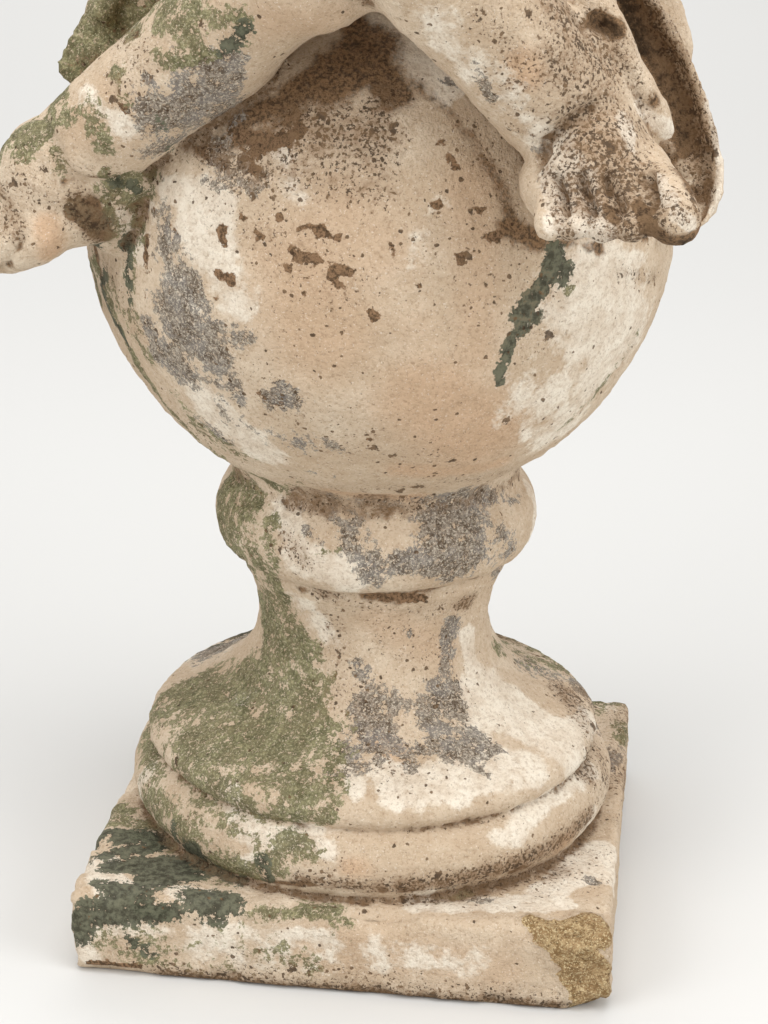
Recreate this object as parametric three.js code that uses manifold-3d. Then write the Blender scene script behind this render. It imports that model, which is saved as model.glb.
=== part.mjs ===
// A garden statue in cast stone: a chubby child, or putto, sits cross-legged on a cloth thrown
// over a large ball. The ball stands on a turned, moulded foot with a square plinth.
// The whole work is one casting, so the file makes one solid.
// Millimetres, +Z up. The origin is the middle of the plinth's underside, and the figure faces -Y.
import * as THREE from 'three';
import { mergeVertices } from 'three/addons/utils/BufferGeometryUtils.js';
import Module from 'manifold-3d';

// Plinth: a square slab with worn arrises and two broken corners
const PLINTH_SIDE = 260;
const PLINTH_HEIGHT = 44;
const PLINTH_ARRIS = 5;
const CORNER_BREAK = 25;
const CORNER_BREAK_HEIGHT = 14;
const SPALL_WIDTH = 44;
const SPALL_DEPTH = 3.5;
const FOOT_CHIP_WIDTH = 38;
const FOOT_CHIP_HEIGHT = 7;

// Turned foot: a round base moulding, a bell, a neck and a collar under the ball
const BASE_RADIUS = 123.5;
const BASE_HEIGHT = 35;
const BELL_RADIUS = 115.5;
const BELL_HEIGHT = 62;
const NECK_RADIUS = 58;
const NECK_HEIGHT = 34;
const FILLET_RADIUS = 66;
const FILLET_HEIGHT = 9;
const COLLAR_RADIUS = 80;
const COLLAR_HEIGHT = 37;
const COVE_RADIUS = 73;
const COVE_HEIGHT = 13;

// Ball
const BALL_RADIUS = 140;

// Turned surfaces have this many sides
const TURNED_SIDES = 40;

// Figure: every length and place on it is a share of its sitting height, seat to crown
const SITTING_HEIGHT = 388;

// Cloth under the figure: its bed over the ball and how far its folds stand up
const CLOTH_THICKNESS = 8;
const FOLD_HEIGHT = 17;
const FOLD_COUNT = 13;

// Mesh of the carved parts: the sampling step, and the faces left after thinning
const CARVING_STEP = 4.6;
const CARVED_FACES = 5800;

// Heights worked out from the sizes above
const baseTop = PLINTH_HEIGHT + BASE_HEIGHT;
const bellTop = baseTop + BELL_HEIGHT;
const filletBottom = bellTop + NECK_HEIGHT;
const collarBottom = filletBottom + FILLET_HEIGHT;
const collarTop = collarBottom + COLLAR_HEIGHT;
const coveTop = collarTop + COVE_HEIGHT;
const ballCentre = new THREE.Vector3(
  0, 0, coveTop + Math.sqrt(BALL_RADIUS ** 2 - COVE_RADIUS ** 2),
);
const seatHeight = ballCentre.z + BALL_RADIUS;

const wasm = await Module();
wasm.setup();

// A closed three.js geometry as a solid that can be joined and cut
function solidFrom(geometry) {
  const bare = geometry.clone();
  bare.deleteAttribute('normal');
  bare.deleteAttribute('uv');
  const merged = mergeVertices(bare, 1e-4);
  return new wasm.Manifold(new wasm.Mesh({
    numProp: 3,
    vertProperties: new Float32Array(merged.attributes.position.array),
    triVerts: new Uint32Array(merged.index.array),
  }));
}

function geometryFrom(solid) {
  const { vertProperties, triVerts } = solid.getMesh();
  const geometry = new THREE.BufferGeometry();
  geometry.setAttribute('position', new THREE.BufferAttribute(vertProperties, 3));
  geometry.setIndex(new THREE.BufferAttribute(triVerts, 1));
  geometry.computeVertexNormals();
  return geometry;
}

// A profile of [radius, height] points, turned about the Z axis. It starts and ends on the axis.
function turned(profile) {
  const points = profile.map(([radius, height]) => new THREE.Vector2(radius, height));
  return new THREE.LatheGeometry(points, TURNED_SIDES).rotateX(Math.PI / 2);
}

// Points of a round moulding, from its lower to its upper edge, bulging to the stated radius
function halfRound(edgeRadius, bulgeRadius, bottom, height, steps) {
  return Array.from({ length: steps + 1 }, (_, i) => {
    const angle = Math.PI * (i / steps - 0.5);
    return [
      edgeRadius + (bulgeRadius - edgeRadius) * Math.cos(angle),
      bottom + height * (0.5 + 0.5 * Math.sin(angle)),
    ];
  });
}

// Plinth
function plinth() {
  const half = PLINTH_SIDE / 2;
  const inner = half - PLINTH_ARRIS;
  const outline = new THREE.Shape();
  outline.moveTo(half, -inner);
  [[1, 1], [-1, 1], [-1, -1], [1, -1]].forEach(([sx, sy], i) => {
    const end = i % 2 ? [sx * half, sy * inner] : [sx * inner, sy * half];
    const start = i % 2 ? [sx * inner, sy * half] : [sx * half, sy * inner];
    outline.lineTo(...start);
    outline.quadraticCurveTo(sx * half, sy * half, ...end);
  });
  const slab = solidFrom(new THREE.ExtrudeGeometry(outline, {
    depth: PLINTH_HEIGHT - 2 * PLINTH_ARRIS,
    bevelThickness: PLINTH_ARRIS,
    bevelSize: 0.6 * PLINTH_ARRIS,
    bevelOffset: -0.6 * PLINTH_ARRIS,
    bevelSegments: 2,
    curveSegments: 3,
  }).translate(0, 0, PLINTH_ARRIS));
  return plinthBreaks(half).reduce((solid, cutter) => solid.subtract(cutter), slab);
}

// The lumps lost from the plinth: a front corner's foot, the skin above it, and a chip under
// the other front corner
function plinthBreaks(half) {
  const corner = beyondPlane(
    new THREE.Vector3(half, -half, CORNER_BREAK_HEIGHT),
    new THREE.Vector3(half - CORNER_BREAK, -half, 0),
    new THREE.Vector3(half, -half + 0.7 * CORNER_BREAK, 0),
  );
  const hollow = (width, height, depth, x, z) => new THREE.SphereGeometry(1, 14, 9)
    .scale(width, 4 * depth, height)
    .translate(x, -half - 3 * depth, z);
  const spall = hollow(
    SPALL_WIDTH, 0.75 * PLINTH_HEIGHT, SPALL_DEPTH, half - 0.12 * SPALL_WIDTH, 0.42 * PLINTH_HEIGHT,
  );
  const footChip = hollow(
    FOOT_CHIP_WIDTH, FOOT_CHIP_HEIGHT, 0.5 * FOOT_CHIP_HEIGHT, -half + 0.6 * FOOT_CHIP_WIDTH, 0,
  );
  return [corner, spall, footChip].map(solidFrom);
}

// A block that covers all that lies outside the plane through three points
function beyondPlane(a, b, c) {
  const size = 3 * a.distanceTo(b);
  const middle = a.clone().add(b).add(c).divideScalar(3);
  const outward = b.clone().sub(a).cross(c.clone().sub(a)).normalize();
  if (outward.z > 0) outward.negate();
  const turn = new THREE.Quaternion().setFromUnitVectors(new THREE.Vector3(0, 0, 1), outward);
  return new THREE.BoxGeometry(size, size, size)
    .translate(0, 0, size / 2)
    .applyQuaternion(turn)
    .translate(...middle);
}

// Turned foot, from the underside of the base moulding up to where the ball sits in the cove
function turnedFoot() {
  const sink = 2;
  const bellLip = baseTop + 2;
  const bell = [
    [BELL_RADIUS, bellLip],
    [BELL_RADIUS - 2, bellLip + 0.08 * BELL_HEIGHT],
    [BELL_RADIUS - 7, bellLip + 0.18 * BELL_HEIGHT],
    [BELL_RADIUS - 17, bellLip + 0.29 * BELL_HEIGHT],
    [NECK_RADIUS + 24, bellLip + 0.42 * BELL_HEIGHT],
    [NECK_RADIUS + 11, bellLip + 0.57 * BELL_HEIGHT],
    [NECK_RADIUS + 3, bellLip + 0.76 * BELL_HEIGHT],
    [NECK_RADIUS, bellTop],
  ];
  return solidFrom(turned([
    [0, PLINTH_HEIGHT - sink],
    [BASE_RADIUS - 6, PLINTH_HEIGHT - sink],
    ...halfRound(BASE_RADIUS - 12, BASE_RADIUS, PLINTH_HEIGHT, BASE_HEIGHT, 6).slice(1),
    ...bell,
    [NECK_RADIUS + 1.5, bellTop + 0.5 * NECK_HEIGHT],
    [NECK_RADIUS + 5, filletBottom - 1],
    [FILLET_RADIUS - 1, filletBottom],
    [FILLET_RADIUS, collarBottom],
    ...halfRound(FILLET_RADIUS + 2, COLLAR_RADIUS, collarBottom, COLLAR_HEIGHT, 6),
    [COVE_RADIUS - 2, collarTop + 0.3 * COVE_HEIGHT],
    [COVE_RADIUS - 1, collarTop + 0.7 * COVE_HEIGHT],
    [COVE_RADIUS + 1, coveTop],
    [COVE_RADIUS - 4, coveTop + 4],
    [0, coveTop + 4],
  ]));
}

function ball() {
  return solidFrom(new THREE.SphereGeometry(BALL_RADIUS, TURNED_SIDES, TURNED_SIDES / 2)
    .rotateX(Math.PI / 2)
    .translate(...ballCentre));
}

// Carving. A form is a function that gives a point's distance to its skin, less than 0 inside.
const clamp = THREE.MathUtils.clamp;
const vec = (x, y, z) => new THREE.Vector3(x, y, z);

// Two forms joined, or one cut by another, with a fillet about as wide as k
function softer(a, b, k) {
  const h = Math.max(k - Math.abs(a - b), 0) / k;
  return Math.min(a, b) - (h * h * k) / 4;
}
const joined = (k, ...forms) => (x, y, z) => {
  let d = forms[0](x, y, z);
  for (let i = 1; i < forms.length; i += 1) d = softer(d, forms[i](x, y, z), k);
  return d;
};
const cutBy = (k, form, ...cutters) => (x, y, z) => {
  let d = form(x, y, z);
  for (const cutter of cutters) d = -softer(-d, cutter(x, y, z), k);
  return d;
};

// A form that is far from the point is answered from the sphere round it, which saves time
const near = (centre, reach, form) => (x, y, z) => {
  const away = Math.sqrt((x - centre.x) ** 2 + (y - centre.y) ** 2 + (z - centre.z) ** 2) - reach;
  return away > 24 ? away : form(x, y, z);
};

function egg(centre, radii, turn = new THREE.Euler()) {
  const m = new THREE.Matrix4().makeRotationFromEuler(turn).transpose().elements;
  const [rx, ry, rz] = radii;
  return (x, y, z) => {
    const px = x - centre.x;
    const py = y - centre.y;
    const pz = z - centre.z;
    const u = (m[0] * px + m[4] * py + m[8] * pz) / rx;
    const v = (m[1] * px + m[5] * py + m[9] * pz) / ry;
    const w = (m[2] * px + m[6] * py + m[10] * pz) / rz;
    const inner = Math.sqrt(u * u + v * v + w * w);
    const slope = Math.sqrt((u / rx) ** 2 + (v / ry) ** 2 + (w / rz) ** 2);
    return slope < 1e-9 ? -Math.min(rx, ry, rz) : (inner * (inner - 1)) / slope;
  };
}

// A rod with round ends from a to b, whose radius runs from one end's to the other's with a swell
function limb(a, b, radiusA, radiusB = radiusA, swell = 0) {
  const along = b.clone().sub(a);
  const length2 = along.lengthSq();
  return (x, y, z) => {
    const px = x - a.x;
    const py = y - a.y;
    const pz = z - a.z;
    const t = clamp((px * along.x + py * along.y + pz * along.z) / length2, 0, 1);
    const away = Math.sqrt(
      (px - t * along.x) ** 2 + (py - t * along.y) ** 2 + (pz - t * along.z) ** 2,
    );
    return away - (radiusA + (radiusB - radiusA) * t + swell * Math.sin(Math.PI * t));
  };
}

// A bent rod through several points, each with its own radius
const bentLimb = (k, points, radii) => joined(
  k, ...points.slice(1).map((point, i) => limb(points[i], point, radii[i], radii[i + 1])),
);

// A form made in its own axes, then turned and set in place
function placed(place, turn, form) {
  const m = new THREE.Matrix4().makeRotationFromEuler(turn).transpose().elements;
  return (x, y, z) => {
    const px = x - place.x;
    const py = y - place.y;
    const pz = z - place.z;
    return form(
      m[0] * px + m[4] * py + m[8] * pz,
      m[1] * px + m[5] * py + m[9] * pz,
      m[2] * px + m[6] * py + m[10] * pz,
    );
  };
}

// The turn that takes a form's -Y to one direction and its +Z as near as it can to another
function facing(forward, upward) {
  const y = forward.clone().normalize().negate();
  const x = new THREE.Vector3().crossVectors(y, upward).normalize();
  const z = new THREE.Vector3().crossVectors(x, y);
  return new THREE.Euler().setFromRotationMatrix(new THREE.Matrix4().makeBasis(x, y, z));
}

// The figure's joints: shares of the sitting height from the seat, right side at -X
const share = (value) => value * SITTING_HEIGHT;
const joint = (x, y, z) => vec(share(x), share(y), seatHeight + share(z));
const joints = {
  hipR: joint(-0.095, -0.067, 0.113),
  hipL: joint(0.106, 0.0, 0.108),
  kneeR: joint(0.046, -0.43, 0.076),
  kneeL: joint(-0.031, -0.358, -0.008),
  ankleR: joint(0.26, -0.302, -0.191),
  ankleL: joint(-0.336, -0.257, -0.272),
  shoulderR: joint(-0.192, -0.018, 0.498),
  shoulderL: joint(0.197, -0.022, 0.49),
  elbowR: joint(-0.3, -0.056, 0.27),
  elbowL: joint(0.31, 0.075, 0.258),
  wristR: joint(-0.108, -0.216, 0.236),
  wristL: joint(0.288, -0.085, 0.128),
  neck: joint(0.002, 0.0, 0.53),
  skull: joint(-0.008, -0.035, 0.8),
};

// Trunk: hips, buttocks, round belly, chest and shoulders, with the hollow of the back
function trunk() {
  const hips = egg(joint(0.004, -0.012, 0.12), [share(0.168), share(0.138), share(0.116)]);
  const buttocks = [-1, 1].map((side) => egg(
    joint(side * 0.08, 0.056, 0.09), [share(0.096), share(0.094), share(0.09)],
  ));
  const belly = egg(joint(0.0, -0.082, 0.236), [share(0.166), share(0.138), share(0.13)]);
  const waist = egg(joint(0.0, 0.006, 0.28), [share(0.162), share(0.118), share(0.155)]);
  const chest = egg(joint(0.004, -0.014, 0.405), [share(0.166), share(0.12), share(0.132)]);
  const breasts = [-1, 1].map((side) => egg(
    joint(0.002 + side * 0.07, -0.08, 0.418), [share(0.066), share(0.046), share(0.05)],
  ));
  const shoulders = [joints.shoulderR, joints.shoulderL].map((point) => limb(
    joint(0.0, 0.004, 0.505), point, share(0.08), share(0.078),
  ));
  const neck = limb(joints.neck, joint(-0.004, -0.014, 0.66), share(0.088), share(0.08));
  const form = joined(share(0.05), hips, waist, belly, chest, ...buttocks, ...shoulders);
  const spine = limb(joint(0.002, 0.148, 0.2), joint(0.002, 0.13, 0.47), share(0.018));
  const navel = egg(joint(0.0, -0.221, 0.245), [share(0.015), share(0.018), share(0.012)]);
  const cleft = limb(joint(0.0, 0.17, 0.03), joint(0.0, 0.14, 0.13), share(0.014));
  const shaped = joined(share(0.03), form, ...breasts, neck);
  return near(joint(0, 0, 0.3), share(0.42), cutBy(share(0.03), shaped, spine, navel, cleft));
}

// Leg: thigh, knee, and a calf with its muscle towards the back. calfRadius is a share.
function leg(hip, knee, ankle, calfSide, calfRadius) {
  const calf = knee.clone().lerp(ankle, 0.34).addScaledVector(calfSide, share(0.012));
  const form = joined(
    share(0.03),
    limb(hip, knee, share(0.116), share(0.082), share(0.01)),
    egg(knee, [share(0.083), share(0.083), share(0.083)]),
    limb(knee, ankle, share(calfRadius), share(calfRadius - 0.01)),
    limb(calf, ankle.clone().lerp(knee, 0.3), share(calfRadius), share(calfRadius - 0.012)),
  );
  return near(knee, share(0.5), form);
}

// Foot in its own axes: ankle at the origin, toes towards -Y, sole down. The great toe is at
// +X on the right foot and at -X on the left one.
function foot(greatToeSide) {
  const at = (x, y, z) => vec(share(greatToeSide * x), share(y), share(z));
  const body = joined(
    share(0.035),
    egg(at(-0.008, 0.006, -0.05), [share(0.052), share(0.048), share(0.044)]),
    limb(at(0, 0, 0), at(0.004, -0.05, -0.02), share(0.066), share(0.056)),
    egg(at(0.004, -0.05, -0.04), [share(0.084), share(0.078), share(0.046)]),
    egg(at(0.014, -0.096, -0.052), [share(0.078), share(0.052), share(0.036)]),
  );
  const toes = Array.from({ length: 5 }, (_, i) => {
    const x = [0.07, 0.034, 0.004, -0.023, -0.047][i];
    const radius = [0.0275, 0.0195, 0.0185, 0.0175, 0.0165][i];
    const tip = [-0.166, -0.166, -0.16, -0.151, -0.139][i];
    return joined(
      share(0.008),
      limb(at(x * 0.96, tip + 0.056, -0.047), at(x, tip + 0.02, -0.055), share(radius * 0.94)),
      egg(at(x, tip + 0.014, -0.06), [share(radius), share(radius * 1.08), share(radius)]),
    );
  });
  const toeRow = (x, y, z) => Math.min(...toes.map((toe) => toe(x, y, z)));
  return near(at(0, -0.055, -0.03), share(0.17), joined(share(0.01), body, toeRow));
}

// Hand in its own axes: wrist at the origin, fingers towards -Y, palm down, thumb at +X
// on the right hand and at -X on the left one. The fingers bend down by the stated angle.
function hand(thumbSide, bend) {
  const at = (x, y, z) => vec(share(thumbSide * x), share(y), share(z));
  const palm = joined(
    share(0.02),
    egg(at(0, -0.046, -0.002), [share(0.047), share(0.056), share(0.027)]),
    limb(at(0, 0.012, 0), at(0, -0.01, 0), share(0.037), share(0.034)),
  );
  const fingers = Array.from({ length: 4 }, (_, i) => {
    const x = 0.033 - i * 0.0215;
    const length = [0.052, 0.058, 0.055, 0.045][i];
    const root = at(x * 0.95, -0.083, 0.002);
    const middle = at(x, -0.083 - length * Math.cos(bend * 0.5), 0.002 - length * Math.sin(bend * 0.5));
    const tip = middle.clone().add(
      at(x * 0.05, -length * 0.62 * Math.cos(bend * 1.4), -length * 0.62 * Math.sin(bend * 1.4)),
    );
    return bentLimb(share(0.004), [root, middle, tip], [share(0.0165), share(0.0145), share(0.0125)]);
  });
  const thumb = bentLimb(
    share(0.006),
    [at(0.026, -0.02, -0.006), at(0.052, -0.058, -0.02), at(0.051, -0.092, -0.027)],
    [share(0.021), share(0.0165), share(0.0135)],
  );
  const fingerRow = (x, y, z) => Math.min(...fingers.map((finger) => finger(x, y, z)));
  return near(at(0, -0.07, 0), share(0.16), joined(share(0.008), palm, fingerRow, thumb));
}

// Arm, from the shoulder to the crease at the wrist
function arm(shoulder, elbow, wrist) {
  const form = joined(
    share(0.025),
    limb(shoulder, elbow, share(0.084), share(0.067), share(0.006)),
    limb(elbow, wrist, share(0.069), share(0.047), share(0.01)),
  );
  return near(elbow, share(0.38), form);
}

// Head in its own axes: middle of the skull at the origin, the face towards -Y
function head() {
  const at = (x, y, z) => vec(share(x), share(y), share(z));
  const pair = (make) => [make(-1), make(1)];
  const size = (...radii) => radii.map(share);
  const mass = joined(
    share(0.05),
    egg(at(0, 0.02, 0.032), size(0.146, 0.16, 0.142)),
    egg(at(0, -0.046, -0.05), size(0.122, 0.106, 0.11)),
    egg(at(0, -0.066, 0.052), size(0.12, 0.084, 0.082)),
    egg(at(0, -0.07, -0.118), size(0.084, 0.07, 0.046)),
  );
  const cheeks = pair((side) => egg(at(side * 0.063, -0.098, -0.074), size(0.056, 0.054, 0.054)));
  const chin = egg(at(0, -0.132, -0.134), size(0.034, 0.028, 0.025));
  const sockets = pair((side) => egg(at(side * 0.05, -0.164, -0.012), size(0.038, 0.024, 0.023)));
  const eyes = pair((side) => egg(at(side * 0.05, -0.132, -0.014), size(0.027, 0.02, 0.019)));
  const nose = joined(
    share(0.014),
    limb(at(0, -0.147, 0.004), at(0, -0.172, -0.05), share(0.012), share(0.0175)),
    ...pair((side) => egg(at(side * 0.018, -0.16, -0.056), size(0.014, 0.014, 0.011))),
  );
  const lips = joined(
    share(0.004),
    ...pair((side) => limb(
      at(0, -0.164, -0.088), at(side * 0.026, -0.152, -0.09), share(0.01), share(0.006),
    )),
    limb(at(-0.013, -0.157, -0.104), at(0.013, -0.157, -0.104), share(0.0108)),
  );
  const ears = pair((side) => cutBy(
    share(0.008),
    egg(at(side * 0.146, 0.01, -0.035), size(0.018, 0.031, 0.042), new THREE.Euler(0.15, 0, side * 0.35)),
    egg(at(side * 0.163, 0.0, -0.033), size(0.011, 0.015, 0.022)),
  ));
  const face = joined(share(0.03), mass, ...cheeks, chin);
  const cut = cutBy(share(0.02), face, ...sockets);
  const features = joined(share(0.008), joined(share(0.014), cut, nose), ...eyes, lips);
  return joined(share(0.008), features, ...ears, curls());
}

// Curls: snail-shaped locks in rings from the crown down, left off where the face is
function curls() {
  const radius = share(0.046);
  const locks = [];
  const rings = 7;
  for (let ring = 0; ring < rings; ring += 1) {
    const polar = 0.34 * ring + 0.12;
    const count = Math.max(1, Math.round(7.2 * Math.sin(polar) * 2.2));
    for (let i = 0; i < count; i += 1) {
      const around = (2 * Math.PI * (i + 0.5 * (ring % 2))) / count;
      const out = vec(
        Math.sin(polar) * Math.sin(around), -Math.sin(polar) * Math.cos(around), Math.cos(polar),
      );
      const hairline = out.y < 0 ? 0.5 - 0.62 * Math.abs(out.x) : -0.6;
      if (out.z > hairline) {
        const root = vec(
          out.x * share(0.134), out.y * share(0.148) + share(0.02), out.z * share(0.13) + share(0.03),
        );
        const heart = root.clone().addScaledVector(out, radius * 0.36);
        const turn = facing(out, vec(Math.sin(3 * i + ring), Math.cos(3 * i), 0.4));
        locks.push(near(heart, radius * 1.3, egg(heart, [radius * 1.12, radius, radius * 0.84], turn)));
      }
    }
  }
  return (x, y, z) => {
    let d = 1e3;
    for (const lock of locks) d = Math.min(d, lock(x, y, z));
    return d;
  };
}

// Cloth over the ball: a bed with uneven folds that run down from the seat and deepen towards
// the hem. It leaves the ball's front bare, where its two edges stand up as thick, rolled lips.
// Angles round the ball are in degrees from +X towards +Y, and angles down it from its top.
function cloth() {
  const { degToRad, radToDeg, smoothstep, lerp } = THREE.MathUtils;
  const leftEdge = (down) => -7 - 0.16 * (down - 50) - 8 * smoothstep(down, 78, 92);
  const rightEdge = (down) => 197 + 7 * smoothstep(down, 40, 66);
  const folds = Array.from({ length: FOLD_COUNT }, (_, i) => {
    const t = i / (FOLD_COUNT - 1);
    return {
      t,
      wander: 7 * Math.sin(2.4 * i + 0.8) * Math.sin(Math.PI * t),
      swing: 9 * Math.sin(1.3 * i + 2.1) * Math.sin(Math.PI * t),
      height: i % (FOLD_COUNT - 1) ? 0.78 + 0.22 * Math.sin(1.9 * i) : 1 + 0.2 * t,
      width: 7.5 + 2 * Math.cos(2.9 * i),
    };
  });
  const hemAt = (around) => {
    const t = clamp((around + 14) / 214, 0, 1);
    return lerp(88, 71, smoothstep(t, 0.45, 1)) + 3.5 * Math.sin(17 * t) - 5 * smoothstep(t, 0.05, 0.35);
  };
  return (x, y, z) => {
    const dx = x - ballCentre.x;
    const dy = y - ballCentre.y;
    const dz = z - ballCentre.z;
    const away = Math.sqrt(dx * dx + dy * dy + dz * dz);
    if (Math.abs(away - BALL_RADIUS) > 3 * FOLD_HEIGHT) return away - BALL_RADIUS - 2 * FOLD_HEIGHT;
    const down = radToDeg(Math.acos(clamp(dz / away, -1, 1)));
    let around = radToDeg(Math.atan2(dy, dx));
    if (around < -90) around += 360;
    const from = leftEdge(down);
    const to = rightEdge(down);
    const deep = smoothstep(down, 12, 62);
    let lift = 0;
    folds.forEach((fold) => {
      const crest = lerp(from + 2.5, to - 2.5, fold.t) + fold.wander + fold.swing * (down / 90 - 0.5);
      const off = (around - crest) / fold.width;
      lift = Math.max(lift, fold.height * Math.exp(-off * off) * (0.25 + 0.75 * deep));
    });
    const thick = CLOTH_THICKNESS + FOLD_HEIGHT * lift;
    const arc = degToRad(1) * away;
    const hem = (down - hemAt(around) - 3 * lift) * arc;
    const sides = Math.max(from - around, around - to) * arc * Math.sin(degToRad(Math.max(down, 12)));
    const skin = (away - BALL_RADIUS - thick) * 0.85;
    return -softer(-skin, -Math.max(hem, sides), 7);
  };
}

// Cloth drawn across the lap as a loose roll of three long folds, and its end, which the left
// hand holds at the hip and which falls to a rounded point beside the right ankle
function lapCloth() {
  const roll = (points, radii, twist) => {
    const curve = new THREE.CatmullRomCurve3(points);
    const steps = 3 * (points.length - 1);
    const radiusAt = (t) => {
      const place = t * (radii.length - 1);
      const j = Math.min(Math.floor(place), radii.length - 2);
      return share(radii[j] + (radii[j + 1] - radii[j]) * (place - j));
    };
    const strands = [0, 1, 2].map((strand) => {
      const spots = [];
      const widths = [];
      for (let i = 0; i <= steps; i += 1) {
        const t = i / steps;
        const turn = (strand * 2 * Math.PI) / 3 + twist * t;
        const tangent = curve.getTangent(t);
        const side = new THREE.Vector3().crossVectors(tangent, vec(0.2, 0.3, 1)).normalize();
        const lift = new THREE.Vector3().crossVectors(side, tangent);
        const width = radiusAt(t);
        spots.push(curve.getPoint(t)
          .addScaledVector(side, width * 0.46 * Math.cos(turn))
          .addScaledVector(lift, width * 0.46 * Math.sin(turn)));
        widths.push(width * 0.66);
      }
      return bentLimb(1, spots, widths);
    });
    return joined(3, ...strands);
  };
  const across = roll(
    [joint(-0.18, 0.2, -0.1), joint(-0.218, 0.09, 0.03), joint(-0.212, -0.05, 0.15),
      joint(-0.1, -0.17, 0.2), joint(0.06, -0.19, 0.2), joint(0.2, -0.1, 0.15),
      joint(0.225, 0.07, 0.05), joint(0.19, 0.21, -0.1)],
    [0.05, 0.05, 0.046, 0.04, 0.044, 0.06, 0.062, 0.06],
    3.4,
  );
  const end = roll(
    [joint(0.215, -0.09, 0.11), joint(0.254, -0.17, 0.02), joint(0.278, -0.2, -0.08),
      joint(0.305, -0.214, -0.15), joint(0.336, -0.2, -0.205)],
    [0.066, 0.056, 0.05, 0.042, 0.024],
    1.1,
  );
  return [
    near(joint(0, -0.03, 0.14), share(0.36), across),
    near(joint(0.26, -0.15, -0.04), share(0.27), end),
  ];
}

// Everything carved by hand, as one form. The ball's inside is left out, as the ball fills it.
function figure() {
  const body = joined(
    share(0.035),
    trunk(),
    arm(joints.shoulderR, joints.elbowR, joints.wristR),
    arm(joints.shoulderL, joints.elbowL, joints.wristL),
  );
  const legL = leg(joints.hipL, joints.kneeL, joints.ankleL, vec(0.3, 0.9, -0.3), 0.069);
  const legR = leg(joints.hipR, joints.kneeR, joints.ankleR, vec(-0.2, 0.9, -0.3), 0.077);
  const footR = placed(joints.ankleR, facing(vec(0.135, -0.97, -0.19), vec(0, -0.18, 1)), foot(1));
  const footL = placed(joints.ankleL, facing(vec(-0.88, 0.0, -0.49), vec(-0.4, -0.25, 0.85)), foot(-1));
  const handR = placed(joints.wristR, facing(vec(0.62, -0.76, -0.2), vec(0.1, 0, 1)), hand(1, 0.55));
  const handL = placed(joints.wristL, facing(vec(-0.12, -0.8, -0.58), vec(0.5, -0.45, 0.75)), hand(-1, 0.7));
  const skull = placed(joints.skull, new THREE.Euler(0.12, -0.07, -0.22), near(vec(0, 0, 0), share(0.21), head()));
  const carved = joined(
    4,
    joined(share(0.03), legL, footL),
    joined(share(0.03), legR, footR),
    joined(10, body, skull),
    handR,
    handL,
    cloth(),
    ...lapCloth(),
  );
  return cutBy(1, carved, egg(ballCentre, Array(3).fill(BALL_RADIUS - 9)));
}

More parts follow.
